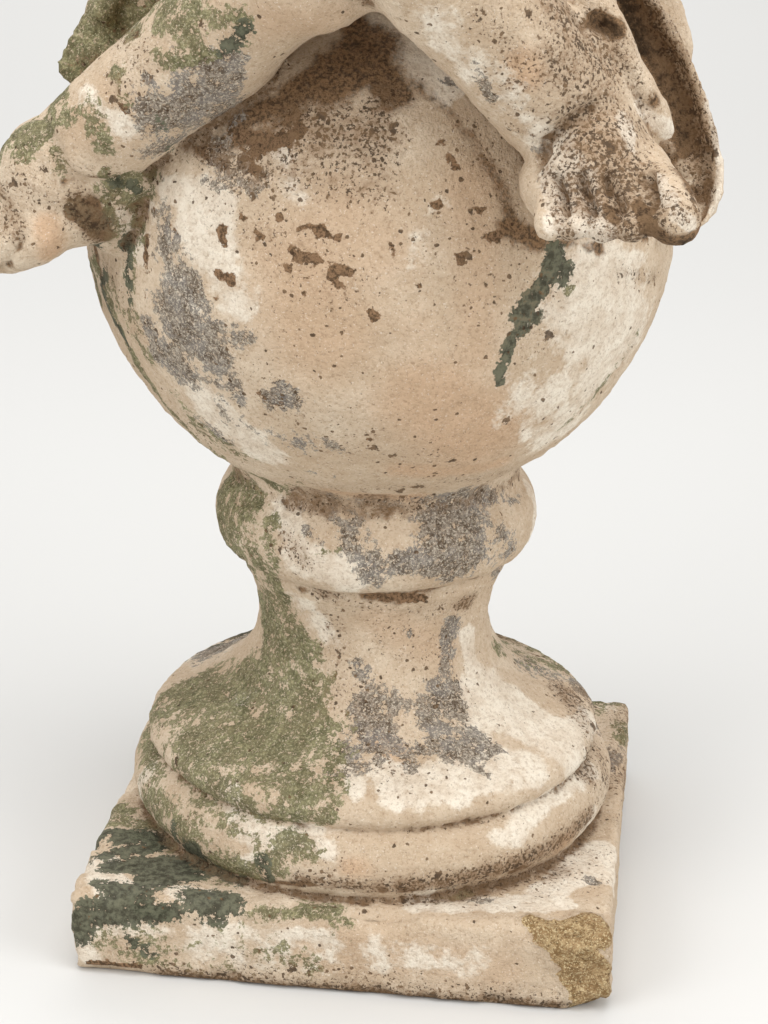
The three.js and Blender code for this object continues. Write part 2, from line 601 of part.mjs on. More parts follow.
// Skin of a form between two corners: marching tetrahedra on a cubic lattice, which always closes
function skinOf(form, low, high, step) {
  const [nx, ny, nz] = ['x', 'y', 'z'].map((axis) => Math.ceil((high[axis] - low[axis]) / step) + 1);
  const lattice = (i, j, k) => (k * ny + j) * nx + i;
  const values = new Float32Array(nx * ny * nz);
  const at = (n, axis) => low[axis] + n * step;
  // Blocks of the lattice whose middle is far from the skin take that one value all through
  const block = 5;
  const reach = 0.9 * block * step * 1.5;
  for (let k0 = 0; k0 < nz; k0 += block) {
    for (let j0 = 0; j0 < ny; j0 += block) {
      for (let i0 = 0; i0 < nx; i0 += block) {
        const mid = (block - 1) / 2;
        const middle = form(at(i0 + mid, 'x'), at(j0 + mid, 'y'), at(k0 + mid, 'z'));
        const far = Math.abs(middle) > reach;
        for (let k = k0; k < Math.min(k0 + block, nz); k += 1) {
          for (let j = j0; j < Math.min(j0 + block, ny); j += 1) {
            for (let i = i0; i < Math.min(i0 + block, nx); i += 1) {
              values[lattice(i, j, k)] = far ? middle : form(at(i, 'x'), at(j, 'y'), at(k, 'z'));
            }
          }
        }
      }
    }
  }
  const positions = [];
  const crossings = new Map();
  const corner = (n) => [n % nx, Math.floor(n / nx) % ny, Math.floor(n / (nx * ny))];
  const crossing = (inside, outside) => {
    const key = inside * values.length + outside;
    if (!crossings.has(key)) {
      const t = clamp(values[inside] / (values[inside] - values[outside]), 0.06, 0.94);
      const a = corner(inside);
      const b = corner(outside);
      crossings.set(key, positions.length / 3);
      positions.push(...['x', 'y', 'z'].map((axis, n) => low[axis] + step * (a[n] + t * (b[n] - a[n]))));
    }
    return crossings.get(key);
  };
  // The six tetrahedra of a cube share its diagonal, each along one order of the three axes
  const orders = [[0, 1, 2], [1, 2, 0], [2, 0, 1], [0, 2, 1], [2, 1, 0], [1, 0, 2]];
  const stride = [1, nx, nx * ny];
  const faces = [];
  for (let k = 0; k < nz - 1; k += 1) {
    for (let j = 0; j < ny - 1; j += 1) {
      for (let i = 0; i < nx - 1; i += 1) {
        const start = lattice(i, j, k);
        orders.forEach(([a, b], n) => {
          const corners = [start, start + stride[a], start + stride[a] + stride[b], start + 1 + nx + nx * ny];
          const inside = corners.filter((at) => values[at] < 0);
          const outside = corners.filter((at) => values[at] >= 0);
          if (!inside.length || !outside.length) return;
          // The order of the corners, and that of the axes, say which way round a face runs
          const isInside = corners.map((at) => values[at] < 0);
          const even = n < 3;
          const cut = [];
          if (inside.length === 1 || outside.length === 1) {
            const lone = inside.length === 1 ? inside[0] : outside[0];
            const others = corners.filter((at) => at !== lone);
            const cross = others.map((at) => (inside.length === 1 ? crossing(lone, at) : crossing(at, lone)));
            cut.push(...cross);
            const flip = (corners.indexOf(lone) % 2 === 1) !== (outside.length === 1);
            if (flip === even) cut.reverse();
            faces.push(...cut);
          } else {
            const [p, q] = inside;
            const [r, s] = outside;
            const ring = [crossing(p, r), crossing(p, s), crossing(q, s), crossing(q, r)];
            const first = isInside.indexOf(true);
            const second = isInside.lastIndexOf(true);
            const flip = (first + second) % 2 === 0;
            if (flip === even) ring.reverse();
            faces.push(ring[0], ring[1], ring[2], ring[0], ring[2], ring[3]);
          }
        });
      }
    }
  }
  return { positions, faces };
}

// A small heap of numbered jobs, cheapest first
class Heap {
  constructor() {
    this.jobs = [];
  }

  push(job) {
    const { jobs } = this;
    let i = jobs.push(job) - 1;
    while (i > 0 && jobs[(i - 1) >> 1].cost > jobs[i].cost) {
      const up = (i - 1) >> 1;
      [jobs[i], jobs[up]] = [jobs[up], jobs[i]];
      i = up;
    }
  }

  pop() {
    const { jobs } = this;
    const top = jobs[0];
    const last = jobs.pop();
    if (jobs.length) {
      jobs[0] = last;
      let i = 0;
      for (;;) {
        const left = 2 * i + 1;
        let least = i;
        if (left < jobs.length && jobs[left].cost < jobs[least].cost) least = left;
        if (left + 1 < jobs.length && jobs[left + 1].cost < jobs[least].cost) least = left + 1;
        if (least === i) break;
        [jobs[i], jobs[least]] = [jobs[least], jobs[i]];
        i = least;
      }
    }
    return top;
  }
}

// Thins a closed mesh to a number of faces, by closing up the edges that change its shape least.
// care says how much a spot's shape matters.
function thinned({ positions, faces }, faceCount, care) {
  const count = positions.length / 3;
  const at = (v) => vec(positions[3 * v], positions[3 * v + 1], positions[3 * v + 2]);
  const points = Array.from({ length: count }, (_, v) => at(v));
  const around = Array.from({ length: count }, () => new Set());
  const triangles = [];
  for (let f = 0; f < faces.length; f += 3) {
    const triangle = [faces[f], faces[f + 1], faces[f + 2]];
    triangle.forEach((v) => around[v].add(triangles.length));
    triangles.push(triangle);
  }
  // Each point keeps the sum of squared distances to the planes round it, as ten numbers
  const errors = points.map(() => new Float64Array(10));
  const normalOf = ([a, b, c]) => points[b].clone().sub(points[a]).cross(points[c].clone().sub(points[a]));
  triangles.forEach((triangle) => {
    const normal = normalOf(triangle);
    const area = normal.length();
    if (area < 1e-9) return;
    normal.divideScalar(area);
    const d = -normal.dot(points[triangle[0]]);
    const n = [normal.x, normal.y, normal.z, d];
    triangle.forEach((v) => {
      const weight = area * care(points[v]);
      let m = 0;
      for (let i = 0; i < 4; i += 1) {
        for (let j = i; j < 4; j += 1) {
          errors[v][m] += weight * n[i] * n[j];
          m += 1;
        }
      }
    });
  });
  const errorAt = (q, p) => q[0] * p.x * p.x + 2 * q[1] * p.x * p.y + 2 * q[2] * p.x * p.z + 2 * q[3] * p.x
    + q[4] * p.y * p.y + 2 * q[5] * p.y * p.z + 2 * q[6] * p.y + q[7] * p.z * p.z + 2 * q[8] * p.z + q[9];
  const bestSpot = (q, a, b) => {
    const middle = a.clone().add(b).multiplyScalar(0.5);
    const m = new THREE.Matrix3().set(q[0], q[1], q[2], q[1], q[4], q[5], q[2], q[5], q[7]);
    const size = Math.abs(q[0]) + Math.abs(q[4]) + Math.abs(q[7]);
    if (Math.abs(m.determinant()) > 1e-4 * size ** 3) {
      const spot = vec(-q[3], -q[6], -q[8]).applyMatrix3(m.invert());
      if (spot.distanceTo(middle) < a.distanceTo(b)) return spot;
    }
    return [a, b, middle].reduce((best, p) => (errorAt(q, p) < errorAt(q, best) ? p : best)).clone();
  };
  const ages = new Uint32Array(count);
  const heap = new Heap();
  const offer = (a, b) => {
    const q = errors[a].map((value, i) => value + errors[b][i]);
    const spot = bestSpot(q, points[a], points[b]);
    const long = points[a].distanceToSquared(points[b]);
    heap.push({ cost: errorAt(q, spot) + 1e-3 * long, a, b, spot, age: ages[a] + ages[b] });
  };
  triangles.forEach((t) => t.forEach((v, i) => {
    const w = t[(i + 1) % 3];
    if (v < w) offer(v, w);
  }));
  const neighbours = (v) => {
    const found = new Set();
    around[v].forEach((f) => triangles[f].forEach((w) => found.add(w)));
    found.delete(v);
    return found;
  };
  const wouldFlip = (v, other, spot) => [...around[v]].some((f) => {
    if (triangles[f].includes(other)) return false;
    const before = normalOf(triangles[f]);
    const kept = points[v];
    points[v] = spot;
    const after = normalOf(triangles[f]);
    const longest = Math.max(...triangles[f].map((w, i, t) => points[w].distanceToSquared(points[t[(i + 1) % 3]])));
    points[v] = kept;
    return before.dot(after) < 0.3 * before.length() * after.length() || after.length() < 0.06 * longest;
  });
  let left = triangles.length;
  while (left > faceCount && heap.jobs.length) {
    const { a, b, spot, age } = heap.pop();
    const alive = around[a].size && around[b].size && age === ages[a] + ages[b];
    if (alive) {
      const near1 = neighbours(a);
      const shared = [...neighbours(b)].filter((v) => near1.has(v));
      if (near1.has(b) && shared.length === 2 && !wouldFlip(a, b, spot) && !wouldFlip(b, a, spot)) {
        [...around[b]].forEach((f) => {
          if (triangles[f].includes(a)) {
            triangles[f].forEach((v) => around[v].delete(f));
            triangles[f] = null;
            left -= 1;
          } else {
            triangles[f][triangles[f].indexOf(b)] = a;
            around[a].add(f);
          }
        });
        around[b].clear();
        points[a] = spot;
        errors[a] = errors[a].map((value, i) => value + errors[b][i]);
        ages[a] += ages[b] + 1;
        neighbours(a).forEach((v) => offer(a, v));
      }
    }
  }
  const geometry = new THREE.BufferGeometry();
  const kept = triangles.filter(Boolean).flat();
  const corners = kept.flatMap((v) => points[v].toArray());
  geometry.setAttribute('position', new THREE.Float32BufferAttribute(corners, 3));
  return geometry;
}

// The figure, meshed: the face, the hands and the feet keep more faces than the rest
function carvedSolid() {
  const low = vec(share(-0.6), share(-0.56), ballCentre.z - 0.3 * BALL_RADIUS);
  const high = vec(share(0.5), share(0.5), seatHeight + share(1.05));
  const finePlaces = [joints.skull, joints.wristR, joints.wristL, joints.ankleR, joints.ankleL];
  const care = (point) => (finePlaces.some((spot) => spot.distanceTo(point) < share(0.2)) ? 4 : 1);
  return solidFrom(thinned(skinOf(figure(), low, high, CARVING_STEP), CARVED_FACES, care));
}

const stone = new THREE.MeshStandardMaterial({ color: 0xd8c6ab, roughness: 0.93, metalness: 0 });
const casting = [turnedFoot(), ball(), carvedSolid()].reduce((solid, piece) => solid.add(piece), plinth());
const statue = new THREE.Mesh(geometryFrom(casting), stone);
statue.name = 'putto_statue';

const work = new THREE.Group();
work.add(statue);
export default work;
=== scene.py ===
import math

import bpy
import numpy as np
from mathutils import Euler, Matrix, Vector, noise


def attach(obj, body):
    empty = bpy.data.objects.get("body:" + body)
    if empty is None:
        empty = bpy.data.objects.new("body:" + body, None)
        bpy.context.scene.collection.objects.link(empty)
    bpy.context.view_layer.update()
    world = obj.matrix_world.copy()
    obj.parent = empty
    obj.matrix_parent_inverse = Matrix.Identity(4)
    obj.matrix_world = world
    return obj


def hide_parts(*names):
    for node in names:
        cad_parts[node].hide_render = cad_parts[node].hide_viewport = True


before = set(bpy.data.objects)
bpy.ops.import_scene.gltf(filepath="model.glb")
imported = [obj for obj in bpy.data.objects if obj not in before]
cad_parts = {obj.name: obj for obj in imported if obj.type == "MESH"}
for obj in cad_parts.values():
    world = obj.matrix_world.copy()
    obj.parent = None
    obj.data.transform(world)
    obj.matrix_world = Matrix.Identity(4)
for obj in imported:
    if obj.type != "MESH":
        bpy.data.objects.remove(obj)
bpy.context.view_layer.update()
bpy.ops.object.select_all(action="DESELECT")

# The plinth: the square foot of the casting, with arrises worn round, a front corner knocked off
# with the skin of the stone above it, and a chip under the other front corner.
PLINTH_HALF = 0.130
PLINTH_TOP = 0.044

bpy.ops.mesh.primitive_cube_add(size=1, location=(0, 0, PLINTH_TOP / 2),
                                scale=(2 * PLINTH_HALF, 2 * PLINTH_HALF, PLINTH_TOP))
plinth = bpy.context.object
bpy.ops.object.mode_set(mode="EDIT")
bpy.ops.mesh.select_all(action="SELECT")
bpy.ops.mesh.bevel(offset=0.0055, segments=3, profile=0.55)
corner = Vector((PLINTH_HALF, -PLINTH_HALF, 0.014))
along_front = Vector((PLINTH_HALF - 0.025, -PLINTH_HALF, 0))
along_side = Vector((PLINTH_HALF, -PLINTH_HALF + 0.0175, 0))
outward = (along_front - corner).cross(along_side - corner).normalized()
if outward.z > 0:
    outward.negate()
bpy.ops.mesh.select_all(action="SELECT")
bpy.ops.mesh.bisect(plane_co=corner, plane_no=outward, use_fill=True, clear_outer=True)
bpy.ops.object.mode_set(mode="OBJECT")


def scoop(solid, centre, radii, turn=(0, 0, 0)):
    bpy.ops.mesh.primitive_ico_sphere_add(subdivisions=4, radius=1, location=centre, rotation=turn)
    tool = bpy.context.object
    tool.scale = radii
    cut = solid.modifiers.new("scoop", "BOOLEAN")
    cut.operation = "DIFFERENCE"
    cut.object = tool
    bpy.context.view_layer.objects.active = solid
    bpy.ops.object.modifier_apply(modifier="scoop")
    bpy.data.objects.remove(tool, do_unlink=True)


scoop(plinth, (PLINTH_HALF - 0.006, -PLINTH_HALF - 0.0105, 0.0185), (0.044, 0.0135, 0.033))
scoop(plinth, (-PLINTH_HALF + 0.022, -PLINTH_HALF - 0.008, 0.0), (0.038, 0.0125, 0.007))


# The turned foot: base moulding, bell, neck, fillet, collar and cove, run up with a template
# in one sweep, as a plasterer runs a round moulding.
# Its points are (radius, height) in mm.
def torus(radius, height, bulge, rise, first, last):
    turns = [math.radians(angle) for angle in np.linspace(first, last, 16)]
    return [(radius + bulge * math.cos(turn), height + rise * math.sin(turn)) for turn in turns]


BASE_MOULDING = torus(110, 61.5, 13.5, 17, -88, 84)
BELL = [(110.6, 79), (111.2, 80.6), (113.6, 81.6), (115.2, 84.2), (115.4, 87), (114, 90.6), (110.6, 94.4),
        (105.4, 97.6), (98.5, 100.6), (89, 105)]
NECK_AND_FILLET = [(79, 110.5), (71, 117.5), (65, 125.5), (60.5, 134), (58.3, 143), (58.2, 152),
                   (59.5, 162), (62.5, 171), (65, 174.6), (66, 176), (66.2, 182), (67.5, 184)]
COLLAR = torus(68, 202.5, 12, 18.5, -78, 84)
COVE = [(71.5, 221.5), (70.6, 225), (71.2, 229), (74, 234), (69, 240), (0, 240)]
FOOT_PROFILE = [(0, 42), *BASE_MOULDING, *BELL, *NECK_AND_FILLET, *COLLAR, *COVE]

bpy.ops.mesh.primitive_plane_add(size=0.01)
turned_foot = bpy.context.object
turned_foot.data.clear_geometry()
turned_foot.data.from_pydata([(r / 1000, 0, z / 1000) for r, z in FOOT_PROFILE],
                             [(i, i + 1) for i in range(len(FOOT_PROFILE) - 1)], [])
bpy.ops.object.mode_set(mode="EDIT")
bpy.ops.mesh.select_all(action="SELECT")
bpy.ops.mesh.spin(steps=144, angle=2 * math.pi, center=(0, 0, 0), axis=(0, 0, 1))
bpy.ops.mesh.select_all(action="SELECT")
bpy.ops.mesh.remove_doubles(threshold=0.00002)
bpy.ops.mesh.normals_make_consistent(inside=False)
bpy.ops.object.mode_set(mode="OBJECT")

# The ball that the figure sits on. It grows out of the cove of the foot.
BALL_RADIUS = 0.140
BALL_CENTRE = Vector((0, 0, 0.3535))
SEAT = BALL_CENTRE.z + BALL_RADIUS

bpy.ops.mesh.primitive_uv_sphere_add(segments=160, ring_count=80, radius=BALL_RADIUS, location=BALL_CENTRE)
ball = bpy.context.object

# The cloth thrown over the ball: a second, thicker skin with folds that run down from the seat.
# Its two front edges stand up as thick lips, and it leaves the front of the ball bare.
# Angles round the ball are in degrees from +X towards +Y, and angles down it from its top. Where
# there is no cloth, its skin lies sunk in the ball.
FOLD_HEIGHT = 0.017
FOLD_COUNT = 13
CLOTH_BED = 0.008
SUNK = 0.008


def smoothstep(value, low, high):
    t = np.clip((value - low) / (high - low), 0, 1)
    return t * t * (3 - 2 * t)


def left_edge(down):
    return -7 - 0.16 * (down - 50) - 8 * smoothstep(down, 78, 92)


def right_edge(down):
    return 197 + 7 * smoothstep(down, 40, 66)


def hem(around):
    t = np.clip((around + 14) / 214, 0, 1)
    waves = 85 - 17 * smoothstep(t, 0.45, 1) + 3.5 * np.sin(17 * t)
    return waves + 3 * smoothstep(t, 0, 0.1) - 5 * smoothstep(t, 0.05, 0.35)


def cloth_lift(around, down):
    lift = np.zeros_like(around)
    for i in range(FOLD_COUNT):
        t = i / (FOLD_COUNT - 1)
        sway = math.sin(math.pi * t)
        crest = (left_edge(down) + 2.5) * (1 - t) + (right_edge(down) - 2.5) * t
        crest = crest + 7 * math.sin(2.4 * i + 0.8) * sway
        crest = crest + 9 * math.sin(1.3 * i + 2.1) * sway * (down / 90 - 0.5)
        height = 0.78 + 0.22 * math.sin(1.9 * i) if i % (FOLD_COUNT - 1) else 1 + 0.2 * t
        off = (around - crest) / (7.5 + 2 * math.cos(2.9 * i))
        lift = np.maximum(lift, height * np.exp(-off * off) * (0.25 + 0.75 * smoothstep(down, 12, 62)))
    # Just behind the front lip the lower cloth hangs nearly flat
    slack = np.exp(-((around - left_edge(down) - 16) / 9) ** 2) * smoothstep(down, 50, 66)
    lift = lift * (1 - 0.75 * slack)
    ripple = 0.06 * np.sin(0.9 * around + 4 * np.sin(0.05 * down)) * smoothstep(down, 20, 50)
    return lift + ripple * (1 - lift)


bpy.ops.mesh.primitive_uv_sphere_add(segments=480, ring_count=240, radius=1)
cloth = bpy.context.object
count = len(cloth.data.vertices)
spots = np.empty(count * 3)
cloth.data.vertices.foreach_get("co", spots)
spots = spots.reshape(-1, 3)
down = np.degrees(np.arccos(np.clip(spots[:, 2], -1, 1)))
around = np.degrees(np.arctan2(spots[:, 1], spots[:, 0]))
around = np.where(around < -90, around + 360, around)
lift = cloth_lift(around, down)
from_edges = np.minimum(around - left_edge(down), right_edge(down) - around)
inside = np.minimum(hem(around) + 3 * lift - down, from_edges * np.sin(np.radians(np.maximum(down, 12))))
rounded = 0.55 + 0.45 * np.sqrt(np.clip(inside / 2.6, 0, 1))
thick = np.where(inside > 0, (CLOTH_BED + FOLD_HEIGHT * lift + SUNK) * rounded, 0)
spots = spots * (BALL_RADIUS + (thick - SUNK))[:, None] + np.array(BALL_CENTRE)
cloth.data.vertices.foreach_set("co", spots.ravel())
cloth.data.update()

# The figure is built up as a modeller builds clay: balls and rolls are set on one another, pressed
# into one lump and smoothed. Its places and sizes are shares of its sitting height.
SITTING = 0.388
clay = []


def joint(x, y, z):
    return Vector((x * SITTING, y * SITTING, SEAT + z * SITTING))


bpy.ops.mesh.primitive_uv_sphere_add(segments=24, ring_count=12, radius=1)
ball_of_clay = bpy.context.object
bpy.ops.mesh.primitive_cylinder_add(vertices=24, radius=1, depth=1, location=(0, 0, 0.5))
bpy.ops.object.transform_apply(location=True)
roll_of_clay = bpy.context.object


def another(pattern, matrix):
    piece = pattern.copy()
    piece.data = pattern.data.copy()
    piece.data.transform(matrix)
    bpy.context.collection.objects.link(piece)
    clay.append(piece)
    return piece


def lump(centre, radii, place=Matrix(), turn=(0, 0, 0)):
    radii = (radii,) * 3 if isinstance(radii, float) else radii
    another(ball_of_clay, place @ Matrix.Translation(centre) @ Euler(turn).to_matrix().to_4x4()
            @ Matrix.Diagonal((*radii, 1)))


def roll(points, radii, place=Matrix()):
    points = [place @ Vector(point) for point in points]
    for a, b, radius_a, radius_b in zip(points, points[1:], radii, radii[1:]):
        along = b - a
        taper = another(roll_of_clay, Matrix())
        for vertex in taper.data.vertices:
            radius = radius_b if vertex.co.z > 0.5 else radius_a
            vertex.co = (vertex.co.x * radius, vertex.co.y * radius, vertex.co.z * along.length)
        taper.data.transform(Matrix.Translation(a) @ along.to_track_quat("Z", "Y").to_matrix().to_4x4())
    for point, radius in zip(points, radii):
        another(ball_of_clay, Matrix.Translation(point) @ Matrix.Diagonal((radius, radius, radius, 1)))


def press(name, voxel, passes, strength=0.5):
    bpy.ops.object.select_all(action="DESELECT")
    for piece in clay:
        piece.select_set(True)
    bpy.context.view_layer.objects.active = clay[0]
    bpy.ops.object.join()
    solid = bpy.context.object
    clay.clear()
    solid.name = name
    bpy.ops.object.transform_apply(location=True, rotation=True, scale=True)
    fuse = solid.modifiers.new("fuse", "REMESH")
    fuse.mode = "VOXEL"
    fuse.voxel_size = voxel
    bpy.ops.object.modifier_apply(modifier="fuse")
    if passes:
        rub = solid.modifiers.new("rub", "SMOOTH")
        rub.factor = strength
        rub.iterations = passes
        bpy.ops.object.modifier_apply(modifier="rub")
    return solid


def s(*shares):
    return tuple(share * SITTING for share in shares)


hip_r, hip_l = joint(-0.095, -0.067, 0.113), joint(0.106, 0.0, 0.108)
knee_r, knee_l = joint(0.046, -0.43, 0.076), joint(-0.031, -0.358, -0.008)
ankle_r, ankle_l = joint(0.26, -0.302, -0.191), joint(-0.336, -0.257, -0.272)
shoulder_r, shoulder_l = joint(-0.192, -0.018, 0.498), joint(0.197, -0.022, 0.49)
elbow_r, elbow_l = joint(-0.3, -0.056, 0.27), joint(0.31, 0.075, 0.258)
wrist_r, wrist_l = joint(-0.108, -0.216, 0.236), joint(0.288, -0.085, 0.128)

# Trunk
lump(joint(0.004, -0.012, 0.12), s(0.17, 0.14, 0.118))
for side in (-1, 1):
    lump(joint(side * 0.08, 0.056, 0.09), s(0.099, 0.097, 0.092))
    lump(joint(0.002 + side * 0.07, -0.08, 0.418), s(0.07, 0.05, 0.054))
    lump(joint(side * 0.08, 0.072, 0.43), s(0.06, 0.05, 0.085))
lump(joint(0.0, -0.082, 0.236), s(0.17, 0.142, 0.134))
lump(joint(0.0, 0.006, 0.28), s(0.166, 0.122, 0.158))
lump(joint(0.004, -0.014, 0.405), s(0.17, 0.124, 0.136))
for shoulder in (shoulder_r, shoulder_l):
    roll([joint(0.0, 0.004, 0.505), shoulder], s(0.084, 0.082))
roll([joint(0.002, 0.012, 0.53), joint(-0.004, -0.002, 0.66)], s(0.102, 0.094))
for side in (-1, 1):
    roll([joint(side * 0.03, 0.03, 0.6), joint(side * 0.13, 0.012, 0.53)], s(0.062, 0.05))


# Legs and arms
def leg(hip, knee, ankle, back, calf):
    middle = hip.lerp(knee, 0.5)
    roll([hip, middle, knee], s(0.118, 0.112, 0.084))
    lump(knee, s(0.086, 0.086, 0.086))
    belly = knee.lerp(ankle, 0.34) + Vector(back) * 0.012 * SITTING
    roll([knee, ankle], s(calf, calf - 0.009))
    roll([belly, ankle.lerp(knee, 0.3)], s(calf + 0.002, calf - 0.01))


leg(hip_l, knee_l, ankle_l, (0.3, 0.9, -0.3), 0.07)
leg(hip_r, knee_r, ankle_r, (-0.2, 0.9, -0.3), 0.078)
for shoulder, elbow, wrist in ((shoulder_r, elbow_r, wrist_r), (shoulder_l, elbow_l, wrist_l)):
    roll([shoulder, shoulder.lerp(elbow, 0.45), elbow], s(0.086, 0.084, 0.068))
    roll([elbow, elbow.lerp(wrist, 0.35), wrist], s(0.069, 0.072, 0.048))

# Skull and jaw
skull = Matrix.Translation(joint(-0.008, -0.035, 0.8)) @ Euler((0.12, -0.07, -0.22)).to_matrix().to_4x4()
lump(s(0, 0.02, 0.032), s(0.148, 0.162, 0.144), skull)
lump(s(0, -0.046, -0.05), s(0.124, 0.108, 0.112), skull)
lump(s(0, -0.066, 0.052), s(0.122, 0.086, 0.084), skull)
lump(s(0, -0.07, -0.118), s(0.086, 0.072, 0.048), skull)
for side in (-1, 1):
    lump(s(side * 0.063, -0.1, -0.074), s(0.058, 0.056, 0.056), skull)
lump(s(0, -0.134, -0.136), s(0.036, 0.03, 0.027), skull)
body = press("body", 0.0036, 14)


# Hands and feet, each in its own axes: the wrist or ankle at the origin, fingers or toes to -Y
def facing(place, forward, upward):
    y = -Vector(forward).normalized()
    x = y.cross(Vector(upward)).normalized()
    z = x.cross(y)
    return Matrix.Translation(place) @ Matrix((x, y, z)).transposed().to_4x4()


def foot(place, great):
    lump(s(great * -0.008, 0.006, -0.05), s(0.053, 0.049, 0.046), place)
    roll([s(0, 0, 0), s(great * 0.004, -0.05, -0.02)], s(0.067, 0.058), place)
    lump(s(great * 0.004, -0.05, -0.038), s(0.085, 0.079, 0.047), place)
    lump(s(great * 0.014, -0.084, -0.047), s(0.077, 0.05, 0.038), place)


def toes(place, great):
    row = zip((0.074, 0.031, 0.001, -0.026, -0.051), (0.0285, 0.0165, 0.0155, 0.0148, 0.0148),
              (-0.168, -0.168, -0.161, -0.152, -0.14))
    for x, radius, tip in row:
        roll([s(great * x * 0.86, tip + 0.085, -0.036), s(great * x, tip + 0.036, -0.04),
              s(great * x * 1.03, tip + 0.012, -0.056)], s(radius * 0.9, radius * 0.9, radius), place)
        lump(s(great * x, tip + 0.002, -0.058), s(radius * 0.62, radius * 0.5, radius * 0.5), place,
             (-0.4, 0, 0))


def palm(place):
    lump(s(0, -0.046, -0.002), s(0.048, 0.057, 0.028), place)
    roll([s(0, 0.012, 0), s(0, -0.01, 0)], s(0.04, 0.036), place)


def fingers(place, thumb, bend):
    for i, length in enumerate((0.052, 0.058, 0.055, 0.045)):
        x = 0.034 - i * 0.0222
        root = Vector(s(thumb * x * 0.95, -0.08, 0.002))
        middle = root + Vector(s(thumb * x * 0.06, -length * math.cos(bend * 0.5),
                                 -length * math.sin(bend * 0.5)))
        tip = middle + Vector(s(0, -length * 0.62 * math.cos(bend * 1.4),
                                -length * 0.62 * math.sin(bend * 1.4)))
        roll([root, middle, tip], s(0.0165, 0.0152, 0.0128), place)
    roll([s(thumb * 0.026, -0.02, -0.006), s(thumb * 0.053, -0.058, -0.018),
          s(thumb * 0.053, -0.093, -0.024)], s(0.021, 0.0172, 0.014), place)


foot_r = facing(ankle_r, (0.12, -0.97, -0.12), (-0.15, -0.12, 1))
foot_l = facing(ankle_l, (-0.88, 0.0, -0.49), (-0.4, -0.25, 0.85))
hand_r = facing(wrist_r, (0.62, -0.76, -0.2), (0.1, 0, 1))
hand_l = facing(wrist_l, (-0.12, -0.8, -0.58), (0.5, -0.45, 0.75))
foot(foot_r, 1)
foot(foot_l, -1)
palm(hand_r)
palm(hand_l)
feet = press("hands_and_feet", 0.003, 6)
toes(foot_r, 1)
toes(foot_l, -1)
fingers(hand_r, 1, 0.55)
fingers(hand_l, -1, 0.7)


# Face: brow, closed round cheeks, nose, lips and ears, plain and calm
def head_pair(make):
    for side in (-1, 1):
        make(side)


head_pair(lambda side: lump(s(side * 0.05, -0.131, -0.014), s(0.029, 0.022, 0.021), skull))
roll([s(0, -0.146, 0.008), s(0, -0.157, -0.022), s(0, -0.166, -0.047)], s(0.014, 0.0145, 0.0175), skull)
head_pair(lambda side: lump(s(side * 0.0185, -0.157, -0.051), s(0.0135, 0.0145, 0.0115), skull))
head_pair(lambda side: roll([s(0, -0.1575, -0.086), s(side * 0.014, -0.155, -0.0855),
                             s(side * 0.028, -0.146, -0.091)], s(0.0088, 0.0084, 0.0052), skull))
roll([s(-0.017, -0.149, -0.101), s(0, -0.153, -0.1025), s(0.017, -0.149, -0.101)],
     s(0.0078, 0.0098, 0.0078), skull)
head_pair(lambda side: lump(s(side * 0.149, 0.012, -0.035), s(0.013, 0.031, 0.044), skull,
                            (0.15, 0, side * 0.4)))
head_pair(lambda side: roll([s(side * 0.155, -0.004, -0.066), s(side * 0.166, 0.02, -0.06),
                             s(side * 0.172, 0.034, -0.03), s(side * 0.168, 0.026, -0.002),
                             s(side * 0.157, 0.0, 0.004), s(side * 0.152, -0.014, -0.02)],
                            s(0.008, 0.0075, 0.008, 0.008, 0.007, 0.005), skull))

# Hair: two snail curls, wound left and right, are rolled up once. Copies of them are set in rings
# over the head, each turned its own way.
rng = np.random.default_rng(7)
CURL_TURNS = 1.4


def curl(hand):
    points = []
    radii = []
    for t in np.linspace(0, 1, 13):
        angle = hand * 2 * math.pi * CURL_TURNS * t
        reach = 0.76 * (1 - 0.88 * t)
        points.append((reach * math.cos(angle), reach * math.sin(angle), 0.02 + 0.46 * t))
        radii.append(0.31 - 0.1 * t)
    before = len(clay)
    roll(points, radii)
    parts = clay[before:]
    del clay[before:]
    bpy.ops.object.select_all(action="DESELECT")
    for part in parts:
        part.select_set(True)
    bpy.context.view_layer.objects.active = parts[0]
    bpy.ops.object.join()
    return bpy.context.object


curls = (curl(-1), curl(1))
curl_seats = []
for ring in range(8):
    polar = 0.1 + 0.305 * ring
    number = max(1, round(17 * math.sin(polar)))
    for i in range(number):
        turn = 2 * math.pi * (i + 0.5 * (ring % 2)) / number
        out = Vector((math.sin(polar) * math.sin(turn), -math.sin(polar) * math.cos(turn),
                      math.cos(polar)))
        hairline = 0.52 - 0.62 * abs(out.x) if out.y < 0 else -0.64
        if out.z > hairline:
            root = Vector(s(out.x * 0.145, out.y * 0.158 + 0.02, out.z * 0.142 + 0.032))
            size = SITTING * rng.uniform(0.038, 0.043)
            spin = Matrix.Rotation(rng.uniform(0, 2 * math.pi), 4, "Z")
            upright = out.to_track_quat("Z", "Y").to_matrix().to_4x4()
            small = Matrix.Diagonal((size, size, size, 1))
            seat = skull @ Matrix.Translation(root) @ upright @ (spin @ small)
            another(curls[int(rng.integers(2))], seat)
            curl_seats.append(seat)
for pattern in curls:
    bpy.data.objects.remove(pattern)


